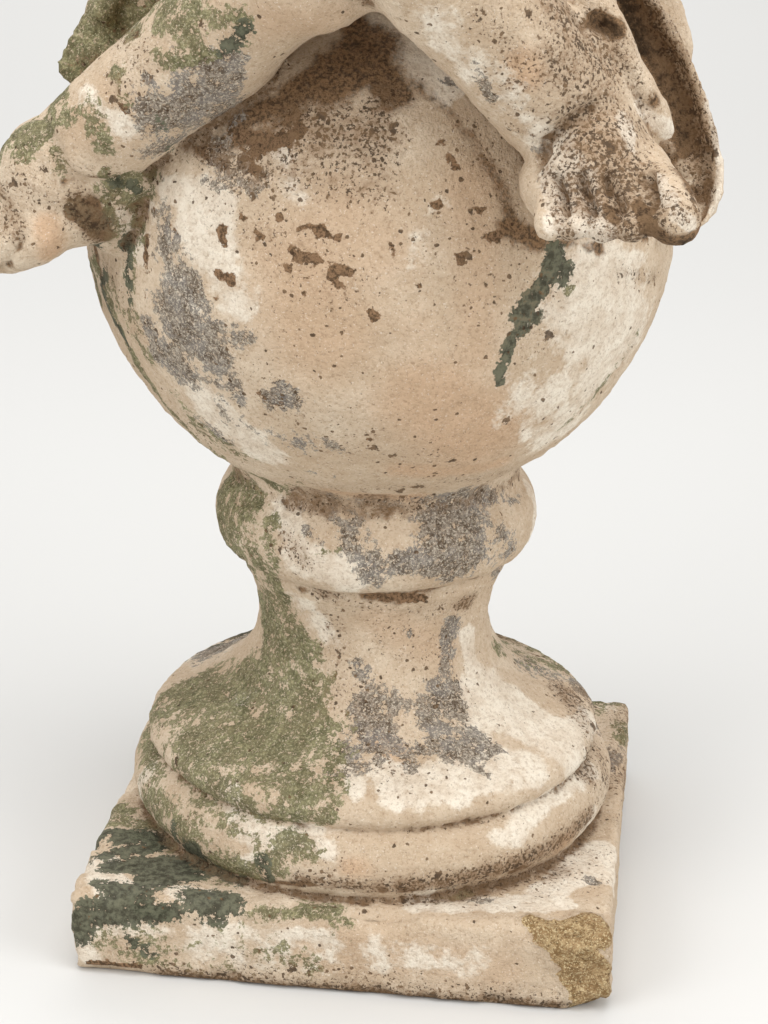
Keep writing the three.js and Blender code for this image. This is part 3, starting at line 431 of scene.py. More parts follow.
# Cloth on the figure: a loose roll of three long folds across the lap, whose left end the hand holds
# at the hip. From there it falls beside the right calf to a smooth rounded point at the ankle.
def twisted(points, radii, twist):
    ends = [points[0] * 2 - points[1], *points, points[-1] * 2 - points[-2]]
    steps = 5 * (len(points) - 1)
    centres = []
    for i in range(steps + 1):
        place = i / 5
        j = min(int(place), len(points) - 2)
        t = place - j
        p0, p1, p2, p3 = ends[j:j + 4]
        centres.append(0.5 * (2 * p1 + (p2 - p0) * t + (2 * p0 - 5 * p1 + 4 * p2 - p3) * t * t
                              + (3 * p1 - p0 - 3 * p2 + p3) * t ** 3))
    widths = np.interp(np.linspace(0, len(radii) - 1, steps + 1), range(len(radii)), radii) * SITTING
    for strand in range(3):
        spots = []
        for i, (centre, width) in enumerate(zip(centres, widths)):
            along = centres[min(i + 1, steps)] - centres[max(i - 1, 0)]
            side = along.cross(Vector((0.2, 0.3, 1))).normalized()
            lift = side.cross(along).normalized()
            turn = strand * 2 * math.pi / 3 + twist * i / steps
            spots.append(centre + (side * math.cos(turn) + lift * math.sin(turn)) * width * 0.46)
        roll(spots, list(widths * 0.66))


across_lap = [joint(-0.18, 0.2, -0.1), joint(-0.218, 0.09, 0.03), joint(-0.212, -0.05, 0.15),
              joint(-0.1, -0.17, 0.2), joint(0.06, -0.19, 0.2), joint(0.2, -0.1, 0.15),
              joint(0.225, 0.07, 0.05), joint(0.19, 0.21, -0.1)]
twisted(across_lap, [0.05, 0.05, 0.046, 0.04, 0.044, 0.06, 0.062, 0.06], 3.4)
beside_calf = [joint(0.215, -0.09, 0.11), (0.093, -0.085, 0.508), (0.1, -0.112, 0.485),
               (0.101, -0.118, 0.4725), (0.1058, -0.12, 0.4612), (0.113, -0.12, 0.447),
               (0.122, -0.117, 0.4335), (0.1305, -0.113, 0.4235), (0.1335, -0.11, 0.4185)]
roll(beside_calf, [0.025, 0.018, 0.012, 0.009, 0.0105, 0.0098, 0.0092, 0.0072, 0.0048])

# The lips of the cloth on the ball: thick rolled rims that stand out from it. The front one has a
# second fold behind it. Rough lumps of stone are left between the left heel and the ball.
def on_cloth(around, down, lift):
    around, down = math.radians(around), math.radians(down)
    out = Vector((math.sin(down) * math.cos(around), math.sin(down) * math.sin(around), math.cos(down)))
    return BALL_CENTRE + out * (BALL_RADIUS + lift)


def lip_lift(down):
    return CLOTH_BED + FOLD_HEIGHT * (0.25 + 0.75 * float(smoothstep(down, 12, 62)))


front_lip = [on_cloth(left_edge(down) + 0.5, down, lip_lift(down) - 0.0016) for down in range(14, 86, 4)]
front_lip += [on_cloth(left_edge(down), down + 0.5, lift)
              for down, lift in ((85, 0.0205), (87, 0.014), (88, 0.006))]
roll(front_lip, [0.0034 + 0.0006 * math.sin(0.9 * i) for i in range(len(front_lip))])
SECOND_FOLD = ((16, -0.004), (26, -0.001), (36, 0.003), (46, 0.003), (54, 0.001), (60, -0.004),
               (66, -0.013))
for deeper, radii in ((0, (0.004, 0.006, 0.007, 0.0065, 0.0055, 0.005, 0.004)),
                      (0.009, (0.006, 0.008, 0.009, 0.009, 0.009, 0.008, 0.006))):
    roll([on_cloth(left_edge(down) + 12, down, lip_lift(down) + rise - deeper)
          for down, rise in SECOND_FOLD], radii)
back_lip = [on_cloth(right_edge(down) - 0.5, down, 1.1 * lip_lift(down) - 0.005)
            for down in range(14, 58, 4)]
roll(back_lip, [0.0044 + 0.001 * math.sin(1.3 * i) for i in range(len(back_lip))])
for centre, radius in (((-0.106, -0.098, 0.372), 0.014), ((-0.098, -0.1, 0.386), 0.012),
                       ((-0.108, -0.09, 0.36), 0.011)):
    lump(centre, radius)
details = press("details", 0.002, 2, 0.4)
bpy.data.objects.remove(ball_of_clay)
bpy.data.objects.remove(roll_of_clay)

# The whole casting: all of it becomes one piece of stone. The tooled creases go in while it is
# still crisp. Each is a line on the surface, with its half width and its depth in mm.
clay += [plinth, turned_foot, ball, cloth, body, feet, details]
statue = press("putto_statue_stone", 0.0019, 1, 0.4)


def in_shares(*points):
    return [joint(*point) for point in points]


def in_place(place, *points):
    return [place @ Vector(s(*point)) for point in points]


def in_mm(*points):
    return [Vector(point) / 1000 for point in points]


def ring_in(place, radius, at):
    return in_place(place, *[(radius * math.cos(turn), at, radius * math.sin(turn))
                             for turn in np.linspace(0, 2 * math.pi, 9)])


CREASES = [
    (in_mm((104.6, -145.9, 434.9), (96.2, -149.4, 428.8), (87.1, -147, 420.2),
           (83, -146.7, 410.2)), 5, 3.6),
    (in_mm((-133.2, -109.3, 415.5), (-122.7, -126.9, 404), (-119.6, -126.8, 394.2), (-111.6, -124.4, 388.8),
           (-102.6, -120.4, 387.8), (-93.1, -117.3, 391.5)), 6, 3.8),
    (in_mm((-154.3, -112.9, 339.3), (-148.2, -119.8, 349.6), (-143.7, -124.7, 358.3),
           (-140.7, -125.2, 363)), 5, 3),
    (in_mm((103.5, -136, 469.5), (107.5, -136, 466.5), (111.5, -132, 463)), 6.5, 8),
    (in_mm((112, -134, 456), (119, -131, 444), (126, -126, 431)), 4, 2.2),
    (in_shares((0.002, 0.148, 0.2), (0.002, 0.135, 0.34), (0.002, 0.125, 0.47)), 15, 4.5),
    (in_shares((0, 0.17, 0.03), (0, 0.15, 0.15)), 9, 9),
    (in_shares((0, -0.224, 0.245), (0, -0.224, 0.24)), 8, 6),
    (in_shares((-0.12, -0.18, 0.16), (0, -0.21, 0.155), (0.12, -0.18, 0.16)), 8, 3),
    (in_shares((-0.11, -0.12, 0.352), (0, -0.14, 0.335), (0.11, -0.12, 0.352)), 11, 2.6),
    (in_shares((0, -0.125, 0.36), (0, -0.115, 0.47)), 10, 2.2),
    (in_shares((-0.07, -0.08, 0.592), (0, -0.105, 0.585), (0.07, -0.08, 0.592)), 5, 2.4),
    (in_place(skull, (-0.03, -0.15, -0.094), (0, -0.17, -0.094), (0.03, -0.15, -0.094)), 3, 1.8),
    (in_place(skull, (-0.02, -0.15, -0.119), (0, -0.155, -0.119), (0.02, -0.15, -0.119)), 6, 2.2),
    (in_place(skull, (0, -0.17, -0.07), (0, -0.17, -0.08)), 3.5, 1.2),
]
for side in (-1, 1):
    CREASES += [
        (in_place(skull, (side * 0.024, -0.155, -0.004), (side * 0.036, -0.158, 0.006),
                  (side * 0.054, -0.156, 0.0085), (side * 0.076, -0.14, -0.001)), 3.2, 1.7),
        (in_place(skull, (side * 0.028, -0.15, -0.032), (side * 0.05, -0.156, -0.038),
                  (side * 0.074, -0.14, -0.03)), 3.4, 1.3),
        (in_place(skull, (side * 0.022, -0.17, -0.012), (side * 0.026, -0.165, -0.03)), 6, 2.2),
        (in_place(skull, (side * 0.031, -0.16, -0.05), (side * 0.036, -0.155, -0.062),
                  (side * 0.042, -0.15, -0.08)), 4.5, 1.6),
        (in_place(skull, (side * 0.011, -0.17, -0.062), (side * 0.014, -0.167, -0.062)), 2.8, 2),
        (in_place(skull, (side * 0.163, 0.006, -0.034), (side * 0.165, 0.012, -0.02)), 5, 4),
        (in_shares((side * 0.16, -0.075, 0.45), (side * 0.135, -0.09, 0.4)), 8, 2.5),
    ]
for place, great in ((foot_r, 1), (foot_l, -1)):
    for x, far, wide in ((0.05, -0.174, 4.4), (0.016, -0.172, 3.8), (-0.0125, -0.166, 3.4),
                         (-0.0385, -0.155, 3.2)):
        CREASES.append((in_place(place, (great * x, far + 0.056, -0.012), (great * x, far + 0.034, -0.02),
                                 (great * x, far + 0.014, -0.03)), wide, 6.5))
    CREASES.append((in_place(place, (great * 0.08, -0.142, -0.03),
                             (great * 0.08, -0.143, -0.028)), 6, 0.8))
for place, thumb in ((hand_r, 1), (hand_l, -1)):
    CREASES.append((ring_in(place, 0.045, 0.006), 4, 2))
    for x in (0.023, 0.0005, -0.0215):
        CREASES.append((in_place(place, (thumb * x, -0.07, 0.03), (thumb * x, -0.1, 0.02)), 2.8, 2))
for knee, hip in ((knee_r, hip_r), (knee_l, hip_l)):
    CREASES.append(([knee.lerp(hip, 0.25) + Vector((dx, -0.01, 0.04)) for dx in (-0.03, 0, 0.03)], 8, 2))
behind_lip = [on_cloth(left_edge(down) - 3.2, down, 0.6 * lip_lift(down)) for down in range(34, 90, 6)]
CREASES.append((behind_lip, 8, 3))


def places(solid):
    spots = np.empty(len(solid.data.vertices) * 3)
    solid.data.vertices.foreach_get("co", spots)
    outward = np.empty(len(spots))
    solid.data.vertices.foreach_get("normal", outward)
    return spots.reshape(-1, 3), outward.reshape(-1, 3)


spots, outward = places(statue)
pressed = np.zeros(len(spots))
for path, width, depth in CREASES:
    line = np.array([statue.closest_point_on_mesh(a.lerp(b, k / 8))[1]
                     for a, b in zip(path, path[1:]) for k in range(9)])
    reach = width / 1000
    near = np.flatnonzero(((spots > line.min(0) - reach) & (spots < line.max(0) + reach)).all(1))
    away = np.linalg.norm(spots[near, None] - line[None], axis=2).min(1)
    pressed[near] = np.maximum(pressed[near], depth / 1000 * (1 - smoothstep(away, 0, reach)))
# A spiral groove is cut into each curl, and a valley is left between it and the next
CURL_RELIEF = 0.0036
combed = np.zeros(len(spots))
head = np.flatnonzero(np.linalg.norm(spots - np.array(skull.translation), axis=1) < 0.24 * SITTING)
for seat in curl_seats:
    to_curl = np.array(seat.inverted())
    local = spots[head] @ to_curl[:3, :3].T + to_curl[:3, 3]
    reach = np.hypot(local[:, 0], local[:, 1]) / 0.92
    spiral = np.cos(4.4 * math.pi * reach - np.arctan2(local[:, 1], local[:, 0]))
    raised = np.clip(1 - reach * reach, 0, 1) * (0.6 + 0.4 * spiral) * (np.abs(local[:, 2]) < 1.4)
    combed[head] = np.maximum(combed[head], raised)
spots = spots + outward * (CURL_RELIEF * combed - pressed)[:, None]


def cloudy(spots, scale, seed, octaves=3):
    shift = Vector((seed * 7.3, seed * 3.1, seed * 5.7))
    return np.array([noise.fractal(Vector(spot) * scale + shift, 1.0, 2.0, octaves) for spot in spots])


# Strokes of weathering, of painted shade and of painted highlight, set over the stone: both ends and the
# radius in mm, then how strongly
MOSS = [
    (-124, -64, 338, -113, -75, 321, 4.2, 0.9), (-113, -75, 321, -90, -71, 273, 3.7, 0.8),
    (-90, -71, 273, -55, -46, 230, 3.8, 0.75), (-102, -107, 366, -99, -92, 315, 4.9, 0.65),
    (-103, -116, 385, -86, -105, 389, 4.8, 0.95), (-71, -85, 267, -52, -85, 255, 7.9, 0.5),
    (-79, -91, 283, -71, -87, 270, 6.4, 0.45), (-70, -15, 222, -26, -76, 240, 3.4, 0.6),
    (125, -46, 311, 110, -54, 287, 2.8, 0.6), (110, -54, 287, 91, -60, 267, 2.3, 0.45),
    (97, -101, 347, 94, -102, 341, 2.2, 0.8), (-154, -106, 396, -122, -116, 425, 5.3, 1),
    (-122, -116, 425, -120, -50, 435, 5.4, 1), (-120, -50, 435, -59, -147, 471, 7, 0.9),
    (-104, -135, 419, -100, -133, 408, 4.3, 0.85), (-94, -135, 440, -92, -136, 439, 3.4, 0.85),
    (-90, -139, 429, -88, -140, 427, 2.5, 0.7), (-71, -146, 446, -48, -152, 451, 2.9, 0.75),
    (-60, -150, 460, -56, -150, 454, 4.6, 0.85), (-38, -157, 465, -36, -155, 459, 4.5, 0.8),
    (-139, -54, 428, -117, -46, 451, 15.8, 1), (-124, -124, 403, -120, -124, 393, 1.7, 0.7),
    (-137, -116, 407, -122, -124, 396, 5.3, 0.4), (-72, -25, 216, -65, -37, 187, 9.8, 1),
    (-55, -49, 220, -46, -60, 190, 7.2, 0.9), (-42, -64, 215, -40, -68, 197, 4.3, 0.7),
    (-52, -59, 237, -36, -62, 231, 3.3, 0.8), (-53, -26, 158, -51, -38, 128, 6.5, 0.95),
    (-41, -43, 160, -32, -60, 120, 9.9, 0.85), (-21, -54, 145, -14, -62, 128, 5.4, 0.6),
    (-24, -62, 122, -9, -91, 104, 8.3, 0.75), (-95, -28, 101, -56, -45, 117, 17.2, 1),
    (-77, -70, 99, -44, -77, 105, 15.8, 0.95), (-35, -80, 105, -20, -104, 98, 12.6, 0.85),
    (-7, -102, 99, 1, -106, 98, 4.3, 0.8), (-55, -98, 92, -39, -105, 93, 7.7, 0.65),
    (-94, -63, 92, -84, -78, 86, 7, 0.6), (-107, -48, 76, -96, -76, 69, 6.1, 0.55),
    (-73, -89, 77, -76, -97, 64, 7.4, 0.7), (-79, -95, 61, -70, -94, 46, 8.4, 0.95),
    (72, 44, 108, 99, 49, 95, 7.4, 0.65), (-50, -104, 86, -6, -115, 88, 3.8, 0.95),
    (-25, -115, 75, -13, -120, 72, 5.3, 0.9), (-37, -117, 62, -22, -120, 70, 4.3, 0.7),
    (-63, -105, 61, -52, -109, 50, 4.4, 0.85), (-52, -108, 74, -41, -113, 72, 3.9, 0.5),
    (-124, -47, 44, -96, -76, 69, 7.1, 0.85), (-123, -49, 44, -111, -56, 44, 5.2, 0.8),
    (-70, -106, 44, -28, -120, 59, 4.4, 0.7), (-45, -129, 39, -2, -127, 44, 2.9, 0.95),
    (-1, -129, 40, 8, -127, 39, 1.9, 0.7), (-114, -130, 16, -85, -130, 11, 4.4, 0.6),
    (-66, -129, 18, -17, -131, 22, 9.8, 0.36), (-75, -129, 7, -31, -130, 6, 4.9, 0.35),
    (-7, -130, 29, 7, -130, 28, 8.7, 0.25), (126, 101, 43, 129, 84, 42, 5, 0.9),
    (114, 116, 44, 126, 123, 43, 3.4, 0.5), (-62, -39, 219, -57, -32, 175, 7.4, 1),
    (-51, -51, 221, -46, -47, 180, 6.3, 0.95), (-68, -42, 206, -54, -56, 191, 8.7, 1),
    (-42, -51, 180, -37, -48, 168, 4.4, 0.9), (-49, -35, 162, -41, -57, 118, 7.9, 1),
    (-32, -48, 147, -21, -70, 115, 7.9, 0.85), (-108, -18, 95, -79, -10, 110, 8.3, 0.9),
    (-114, -18, 78, -84, -35, 105, 9.3, 0.9), (-78, -38, 107, -15, -79, 109, 12.9, 0.85),
    (-47, -93, 98, -6, -107, 97, 7.7, 0.8), (-89, -72, 89, -56, -101, 85, 8.8, 0.75),
    (-110, -55, 67, -99, -64, 45, 6.6, 0.75), (-96, -77, 58, -62, -105, 56, 7.5, 0.85),
    (-78, -92, 51, -44, -114, 54, 5.9, 0.85), (-51, -101, 79, -5, -115, 87, 3.4, 0.9),
    (-63, -102, 74, -19, -119, 73, 4.4, 0.6), (-128, -52, 42, -103, -69, 64, 7.2, 0.8),
    (-94, -130, 40, -80, -130, 36, 4.4, 0.8), (-51, -130, 28, -17, -130, 15, 9.7, 0.42),
    (-109, -130, 25, -85, -130, 17, 6.9, 0.55), (-18, -124, 44, 0, -124, 44, 3.9, 0.6),
    (-113, -80, 334, -92, -91, 301, 3.7, 0.6), (-129, -51, 334, -124, -55, 318, 4.3, 0.9),
    (-118, -127, 417, -106, -132, 427, 3.4, 0.75), (-111, -131, 422, -101, -135, 427, 3, 0.6),
    (-133, -116, 409, -121, -125, 418, 4.4, 0.9), (-141, -119, 401, -128, -118, 410, 4.8, 0.95),
    (-77, -142, 450, -72, -145, 448, 2.5, 0.7), (-87, -128, 456, -102, -36, 449, 5.4, 0.9),
    (-74, -139, 462, -59, -149, 465, 5, 0.9), (-50, -154, 465, -37, -157, 468, 4.1, 0.8),
    (62, -1, 130, 93, 59, 95, 4.2, 0.6), (-101, -125, 393, -87, -106, 383, 3.9, 1),
    (-95, -109, 380, -92, -104, 362, 4, 0.9), (-105, -113, 379, -106, -105, 360, 2.7, 0.9),
    (137, -178, 389, 145, -174, 387, 1.6, 0.6), (43, -114, 44, 61, -100, 44, 2.9, 0.55),
    (-26, -75, 201, -6, -79, 210, 1.9, 0.4), (-106, -75, 302, -88, -68, 269, 4.2, 0.9),
    (-88, -68, 269, -60, -65, 244, 4.2, 0.8), (-110, -34, 77, -79, -96, 61, 7.6, 0.85),
    (-78, -96, 63, -49, -113, 56, 5.4, 0.85), (-129, -42, 42, -93, -79, 43, 7.2, 0.8),
]
DARK_MOSS = [
    (-130, -72, 38, -103, -71, 44, 6.6, 1), (-115, -101, 44, -78, -91, 44, 6, 1),
    (-93, -112, 44, -76, -101, 44, 8.4, 1), (-63, -126, 42, -57, -126, 41, 7.3, 1),
    (-125, -130, 30, -77, -130, 38, 4.4, 1), (-127, -129, 26, -124, -130, 21, 4.4, 1),
    (-106, -126, 42, -86, -121, 44, 2.9, 0.8), (-87, -83, 51, -77, -95, 44, 6, 0.6),
    (-101, -130, 21, -90, -130, 15, 3, 0.8), (90, -107, 364, 87, -109, 351, 4.3, 1),
    (86, -110, 350, 77, -116, 338, 4.3, 1), (83, -111, 335, 73, -116, 326, 3, 0.9),
    (72, -116, 322, 69, -115, 313, 3, 0.9), (69, -114, 311, 69, -111, 304, 1.8, 0.8),
    (93, -103, 359, 92, -104, 351, 3.5, 0.6), (-100, -101, 361, -100, -95, 330, 3.1, 0.6),
    (-44, -153, 454, -35, -156, 462, 3.7, 0.7), (-37, -117, 62, -34, -116, 52, 3.4, 0.7),
    (-123, -92, 43, -96, -78, 44, 5, 0.9), (-101, -99, 44, -74, -96, 52, 6, 0.95),
    (-117, -119, 44, -90, -129, 43, 3.9, 0.85), (-121, -129, 37, -105, -128, 40, 3.4, 0.9),
    (-70, -122, 44, -50, -126, 42, 5.8, 1), (-87, -88, 60, -81, -86, 47, 4, 0.7),
    (90, -107, 362, 95, -102, 355, 3.9, 0.9), (-75, -137, 420, -76, -113, 402, 2.6, 0.5),
    (-118, -122, 378, -108, -112, 368, 4, 0.75), (-101, -116, 388, -91, -109, 384, 2.6, 0.7),
    (-111, -114, 368, -120, -66, 326, 2.7, 0.9), (-119, -67, 325, -106, -75, 302, 2.3, 0.8),
    (-72, -95, 44, -48, -108, 45, 3.5, 0.8),
]
LICHEN = [
    (-83, -111, 378, -73, -120, 360, 5.7, 0.5), (-77, -117, 359, -67, -123, 343, 8.3, 0.85),
    (-76, -115, 331, -65, -118, 319, 11, 0.95), (-85, -102, 308, -72, -108, 302, 8.5, 0.9),
    (-56, -126, 327, -46, -129, 325, 5.2, 0.9), (-49, -121, 304, -46, -116, 292, 4.4, 0.9),
    (-30, -123, 295, -21, -127, 298, 5.3, 0.95), (-26, -129, 304, -20, -129, 301, 3.5, 0.9),
    (-58, -115, 300, -54, -106, 279, 4.9, 0.5), (-71, -90, 273, -58, -92, 265, 5, 0.6),
    (-32, -114, 278, -19, -111, 271, 6.3, 0.55), (-8, -116, 276, -1, -112, 270, 3.6, 0.55),
    (-23, -95, 254, -8, -97, 252, 2.3, 0.5), (-55, -118, 404, -45, -126, 396, 6.9, 0.85),
    (-38, -130, 391, -37, -130, 390, 2.6, 0.95), (-59, -121, 391, -52, -125, 390, 2.6, 0.9),
    (-33, -129, 397, -32, -130, 396, 3, 0.9), (-76, -139, 424, -57, -131, 422, 10.2, 0.85),
    (-49, -149, 446, -51, -124, 422, 8.4, 0.9), (-60, -144, 436, -57, -139, 430, 7.6, 0.8),
    (-73, -125, 409, -81, -128, 406, 6.4, 0.85), (-40, -150, 450, -42, -142, 440, 4.2, 0.95),
    (-80, -142, 439, -77, -143, 438, 2.1, 0.9), (-82, -107, 391, -81, -109, 389, 1.8, 0.8),
    (-13, -69, 228, -5, -76, 216, 3.8, 0.7), (0, -78, 211, 11, -79, 204, 5.6, 0.9),
    (7, -80, 199, 10, -78, 194, 4.7, 0.9), (21, -77, 202, 30, -74, 204, 5.6, 1),
    (35, -62, 224, 40, -69, 202, 8.5, 1), (50, -52, 227, 53, -59, 199, 7.1, 0.95),
    (60, -49, 212, 71, -36, 199, 6.7, 0.6), (38, -62, 230, 61, -37, 225, 3.8, 0.9),
    (-28, -65, 224, 29, -65, 225, 2.8, 0.55), (43, -40, 155, 48, -53, 117, 5.4, 1),
    (24, -54, 159, 25, -53, 157, 1.9, 1), (0, -58, 141, 4, -61, 133, 3.9, 0.75),
    (11, -62, 131, 17, -63, 127, 5.4, 0.75), (3, -69, 121, 9, -76, 113, 5.8, 0.85),
    (14, -70, 118, 19, -78, 110, 4.4, 0.9), (36, -61, 118, 48, -71, 107, 9.3, 0.9),
    (55, -62, 109, 65, -66, 104, 5.9, 0.85), (69, -61, 104, 73, -63, 102, 2.9, 0.8),
    (-6, -78, 111, 2, -88, 105, 6.3, 0.8), (25, -83, 106, 30, -87, 103, 4.3, 0.65),
    (-23, -94, 101, -6, -99, 101, 6.7, 0.7), (-45, -76, 105, -24, -89, 103, 7.8, 0.45),
    (59, -77, 101, 66, -80, 98, 2.4, 0.7), (118, -77, 43, 119, -79, 43, 2.5, 1),
    (51, -110, 52, 69, -106, 44, 4.8, 0.6), (58, -165, 455, 64, -155, 438, 2.8, 0.6),
    (83, -142, 415, 94, -171, 389, 4.1, 0.35), (41, -106, 435, 43, -106, 434, 1.7, 0.8),
    (-79, -137, 418, -68, -141, 430, 5.9, 0.8), (-57, -128, 420, -47, -136, 431, 5.9, 0.85),
    (-65, -148, 448, -56, -147, 441, 4.2, 0.6), (-6, -122, 422, 3, -125, 417, 2.5, 0.4),
    (-73, -116, 323, -58, -121, 316, 9.7, 0.9), (-90, -102, 318, -82, -104, 309, 5.4, 0.85),
    (-61, -126, 340, -55, -127, 331, 3.9, 0.7), (-43, -131, 329, -39, -132, 327, 3, 0.8),
    (-72, -107, 299, -68, -107, 296, 3.1, 0.8), (-47, -110, 281, -38, -106, 271, 4, 0.55),
    (-19, -118, 281, -15, -111, 270, 3.6, 0.5), (31, -74, 204, 45, -65, 195, 5.7, 0.9),
    (40, -60, 230, 52, -53, 218, 5.7, 0.9), (57, -55, 201, 64, -13, 176, 3.9, 0.8),
    (-3, -71, 225, 5, -74, 218, 2.8, 0.6), (-24, -72, 215, -15, -77, 211, 2.4, 0.6),
    (-34, -71, 209, -26, -75, 198, 2.8, 0.6), (0, -65, 125, 18, -65, 123, 4.4, 0.8),
    (31, -58, 125, 44, -51, 122, 4.4, 0.7), (33, -77, 108, 61, -68, 104, 4.4, 0.8),
    (2, -95, 102, 15, -88, 105, 3.9, 0.7), (-32, -94, 99, -20, -108, 95, 5.8, 0.6),
    (-18, -63, 123, -11, -75, 113, 3.9, 0.55), (-114, -129, 38, -108, -130, 35, 2.9, 0.6),
    (94, -153, 406, 96, -159, 406, 1.2, 0.5), (38, -52, 127, 45, -50, 122, 5.9, 0.9),
    (3, -65, 125, 8, -68, 121, 4.4, 0.9), (-3, -83, 108, 57, -73, 103, 3.9, 0.8),
    (-12, -72, 233, 29, -67, 232, 2.8, 0.7), (48, -61, 236, 73, -20, 217, 3.3, 0.7),
]
RUST_FLECKS = [
    (-89, -107, 363, -89, -102, 319, 2.2, 0.8), (-87, -106, 375, -72, -120, 368, 2.6, 0.6),
    (-51, -129, 373, -49, -131, 367, 2.1, 1), (-25, -135, 382, -24, -136, 380, 1.7, 1),
    (-16, -137, 378, -10, -138, 377, 1.7, 0.9), (-8, -138, 377, -4, -139, 374, 2.5, 1),
    (-1, -139, 375, 3, -138, 375, 1.7, 1), (-18, -138, 367, -14, -139, 365, 3, 1),
    (-22, -138, 361, -19, -138, 359, 1.7, 1), (0, -140, 361, 6, -140, 360, 2.5, 1),
    (-2, -140, 356, 0, -140, 354, 1.7, 1), (3, -140, 352, 5, -140, 351, 1.7, 0.9),
    (-52, -131, 354, -46, -133, 350, 2.2, 1), (-56, -128, 347, -54, -129, 343, 1.7, 0.8),
    (15, -139, 342, 17, -138, 340, 1.7, 1), (3, -137, 328, 5, -137, 325, 1.3, 0.9),
    (-36, -134, 374, -34, -134, 371, 1.3, 0.9), (32, -137, 357, 34, -136, 355, 1.3, 0.9),
    (39, -129, 390, 41, -129, 387, 1.7, 1), (45, -122, 405, 48, -122, 401, 2.1, 0.9),
    (35, -129, 396, 37, -128, 395, 1.3, 0.9), (58, -124, 386, 60, -123, 383, 1.3, 0.9),
    (41, -121, 412, 43, -121, 409, 1.7, 0.8), (50, -130, 369, 52, -130, 365, 1.7, 0.9),
    (61, -125, 374, 67, -121, 373, 2.1, 0.9), (11, -117, 278, 14, -115, 275, 1.3, 0.8),
    (-39, -124, 406, -18, -124, 416, 3.8, 0.75), (-48, -117, 412, -34, -123, 411, 3.4, 0.8),
    (-24, -125, 412, -20, -129, 404, 2.6, 0.6), (-90, -139, 425, -88, -139, 424, 1.7, 0.9),
    (-78, -143, 440, -77, -143, 436, 1.7, 0.9), (150, -173, 394, 149, -174, 391, 2, 0.8),
    (-121, -130, 6, -94, -130, 7, 1.5, 0.9), (11, -65, 181, 31, -58, 178, 2.4, 1),
    (-61, -116, 403, -50, -123, 399, 2.6, 0.9), (-44, -124, 402, -33, -129, 397, 2.6, 0.9),
    (-32, -135, 372, -29, -136, 370, 1.3, 0.9), (-42, -131, 380, -40, -132, 378, 1.3, 0.9),
    (-9, -139, 365, -6, -140, 363, 1.3, 0.9), (-15, -139, 350, -14, -139, 348, 1.3, 0.9),
    (8, -139, 348, 9, -139, 346, 1.3, 0.9), (23, -137, 371, 25, -137, 369, 1.3, 0.8),
    (-34, -124, 298, -26, -125, 296, 3.1, 0.9),
]
# Dark stains, and painted shade: thin shadow lines under the base moulding and the collar, and strokes
# above 1 that paint near-black shade in the deepest hollows between the legs, feet and ball
STAINS_AND_PAINTED_SHADOW = [
    (9, -103, 448, -7, -114, 435, 9.4, 1), (10, -108, 442, 20, -114, 431, 6.8, 0.9),
    (-19, -116, 430, -46, -117, 415, 4.3, 0.95), (-19, -120, 423, -36, -122, 410, 3.4, 0.7),
    (29, -110, 435, 56, -114, 410, 2.6, 0.5), (60, -115, 404, 72, -117, 379, 2.6, 0.6),
    (70, -119, 377, 84, -112, 370, 3.9, 0.95), (-110, -117, 378, -108, -107, 360, 4, 0.7),
    (-121, -70, 345, -118, -70, 327, 2.8, 0.8), (86, -144, 421, 105, -143, 434, 1.2, 1),
    (83, -142, 411, 86, -143, 420, 1.2, 0.6), (-132, -55, 426, -129, -54, 429, 3.2, 0.8),
    (-117, -44, 444, -114, -41, 445, 3.3, 0.8), (103, -125, 467, 112, -125, 462, 2.9, 2),
    (109, -88, 361, 145, -176, 388, 2.5, 1), (136, -178, 390, 147, -175, 389, 3.2, 0.9),
    (-29, -60, 180, 30, -59, 182, 1.4, 0.8), (30, -59, 182, 55, -49, 187, 1.4, 0.7),
    (18, -64, 180, 27, -60, 179, 2.4, 0.9), (-18, -121, 55, 29, -118, 53, 1.4, 1),
    (29, -118, 53, 84, -89, 53, 1.5, 1), (84, -89, 53, 115, -27, 46, 1.5, 0.9),
    (-149, -114, 348, -141, -123, 360, 1.3, 0.9), (-75, -128, 2, 108, -128, 2, 1, 0.7),
    (-120, -125, 390, -100, -125, 393, 1.7, 0.7), (-61, -103, 49, -18, -121, 53, 1.9, 0.9),
    (100, -173, 391, 97, -99, 366, 1, 0.8), (107, -174, 394, 105, -91, 364, 1.1, 0.85),
    (114, -169, 399, 116, -173, 387, 1.2, 0.95), (126, -171, 401, 128, -56, 358, 1.5, 1),
    (84, -112, 370, 109, -88, 361, 1.3, 0.7), (129, -123, 434, 146, -167, 407, 2.5, 0.9),
    (119, -12, 449, 133, -19, 419, 4.2, 1), (1, -96, 455, 10, -107, 443, 5.2, 1),
    (-8, -108, 443, -28, -116, 427, 3.4, 0.8), (-57, -25, 168, -53, -28, 163, 2, 0.5),
    (113, -11, 457, 122, -16, 437, 4.2, 2), (124, -15, 437, 136, -19, 415, 3.7, 2),
    (139, -20, 413, 142, -24, 397, 2.8, 2), (142, -25, 393, 146, -163, 406, 2.6, 1.7),
    (126, -171, 401, 130, -177, 394, 2, 2), (133, -178, 391, 146, -175, 389, 3.2, 1.6),
    (114, -170, 399, 117, -174, 396, 1.6, 1.8), (5, -67, 182, 19, -63, 179, 2.4, 1),
    (-63, -114, 404, -35, -122, 412, 3, 0.9), (4, -103, 448, 11, -104, 446, 5.2, 1.25),
    (-118, -120, 375, -110, -117, 378, 2.6, 1.5), (-113, -116, 370, -109, -111, 364, 2.2, 1.4),
    (108, -88, 363, 145, -176, 388, 1.7, 1.8),
]
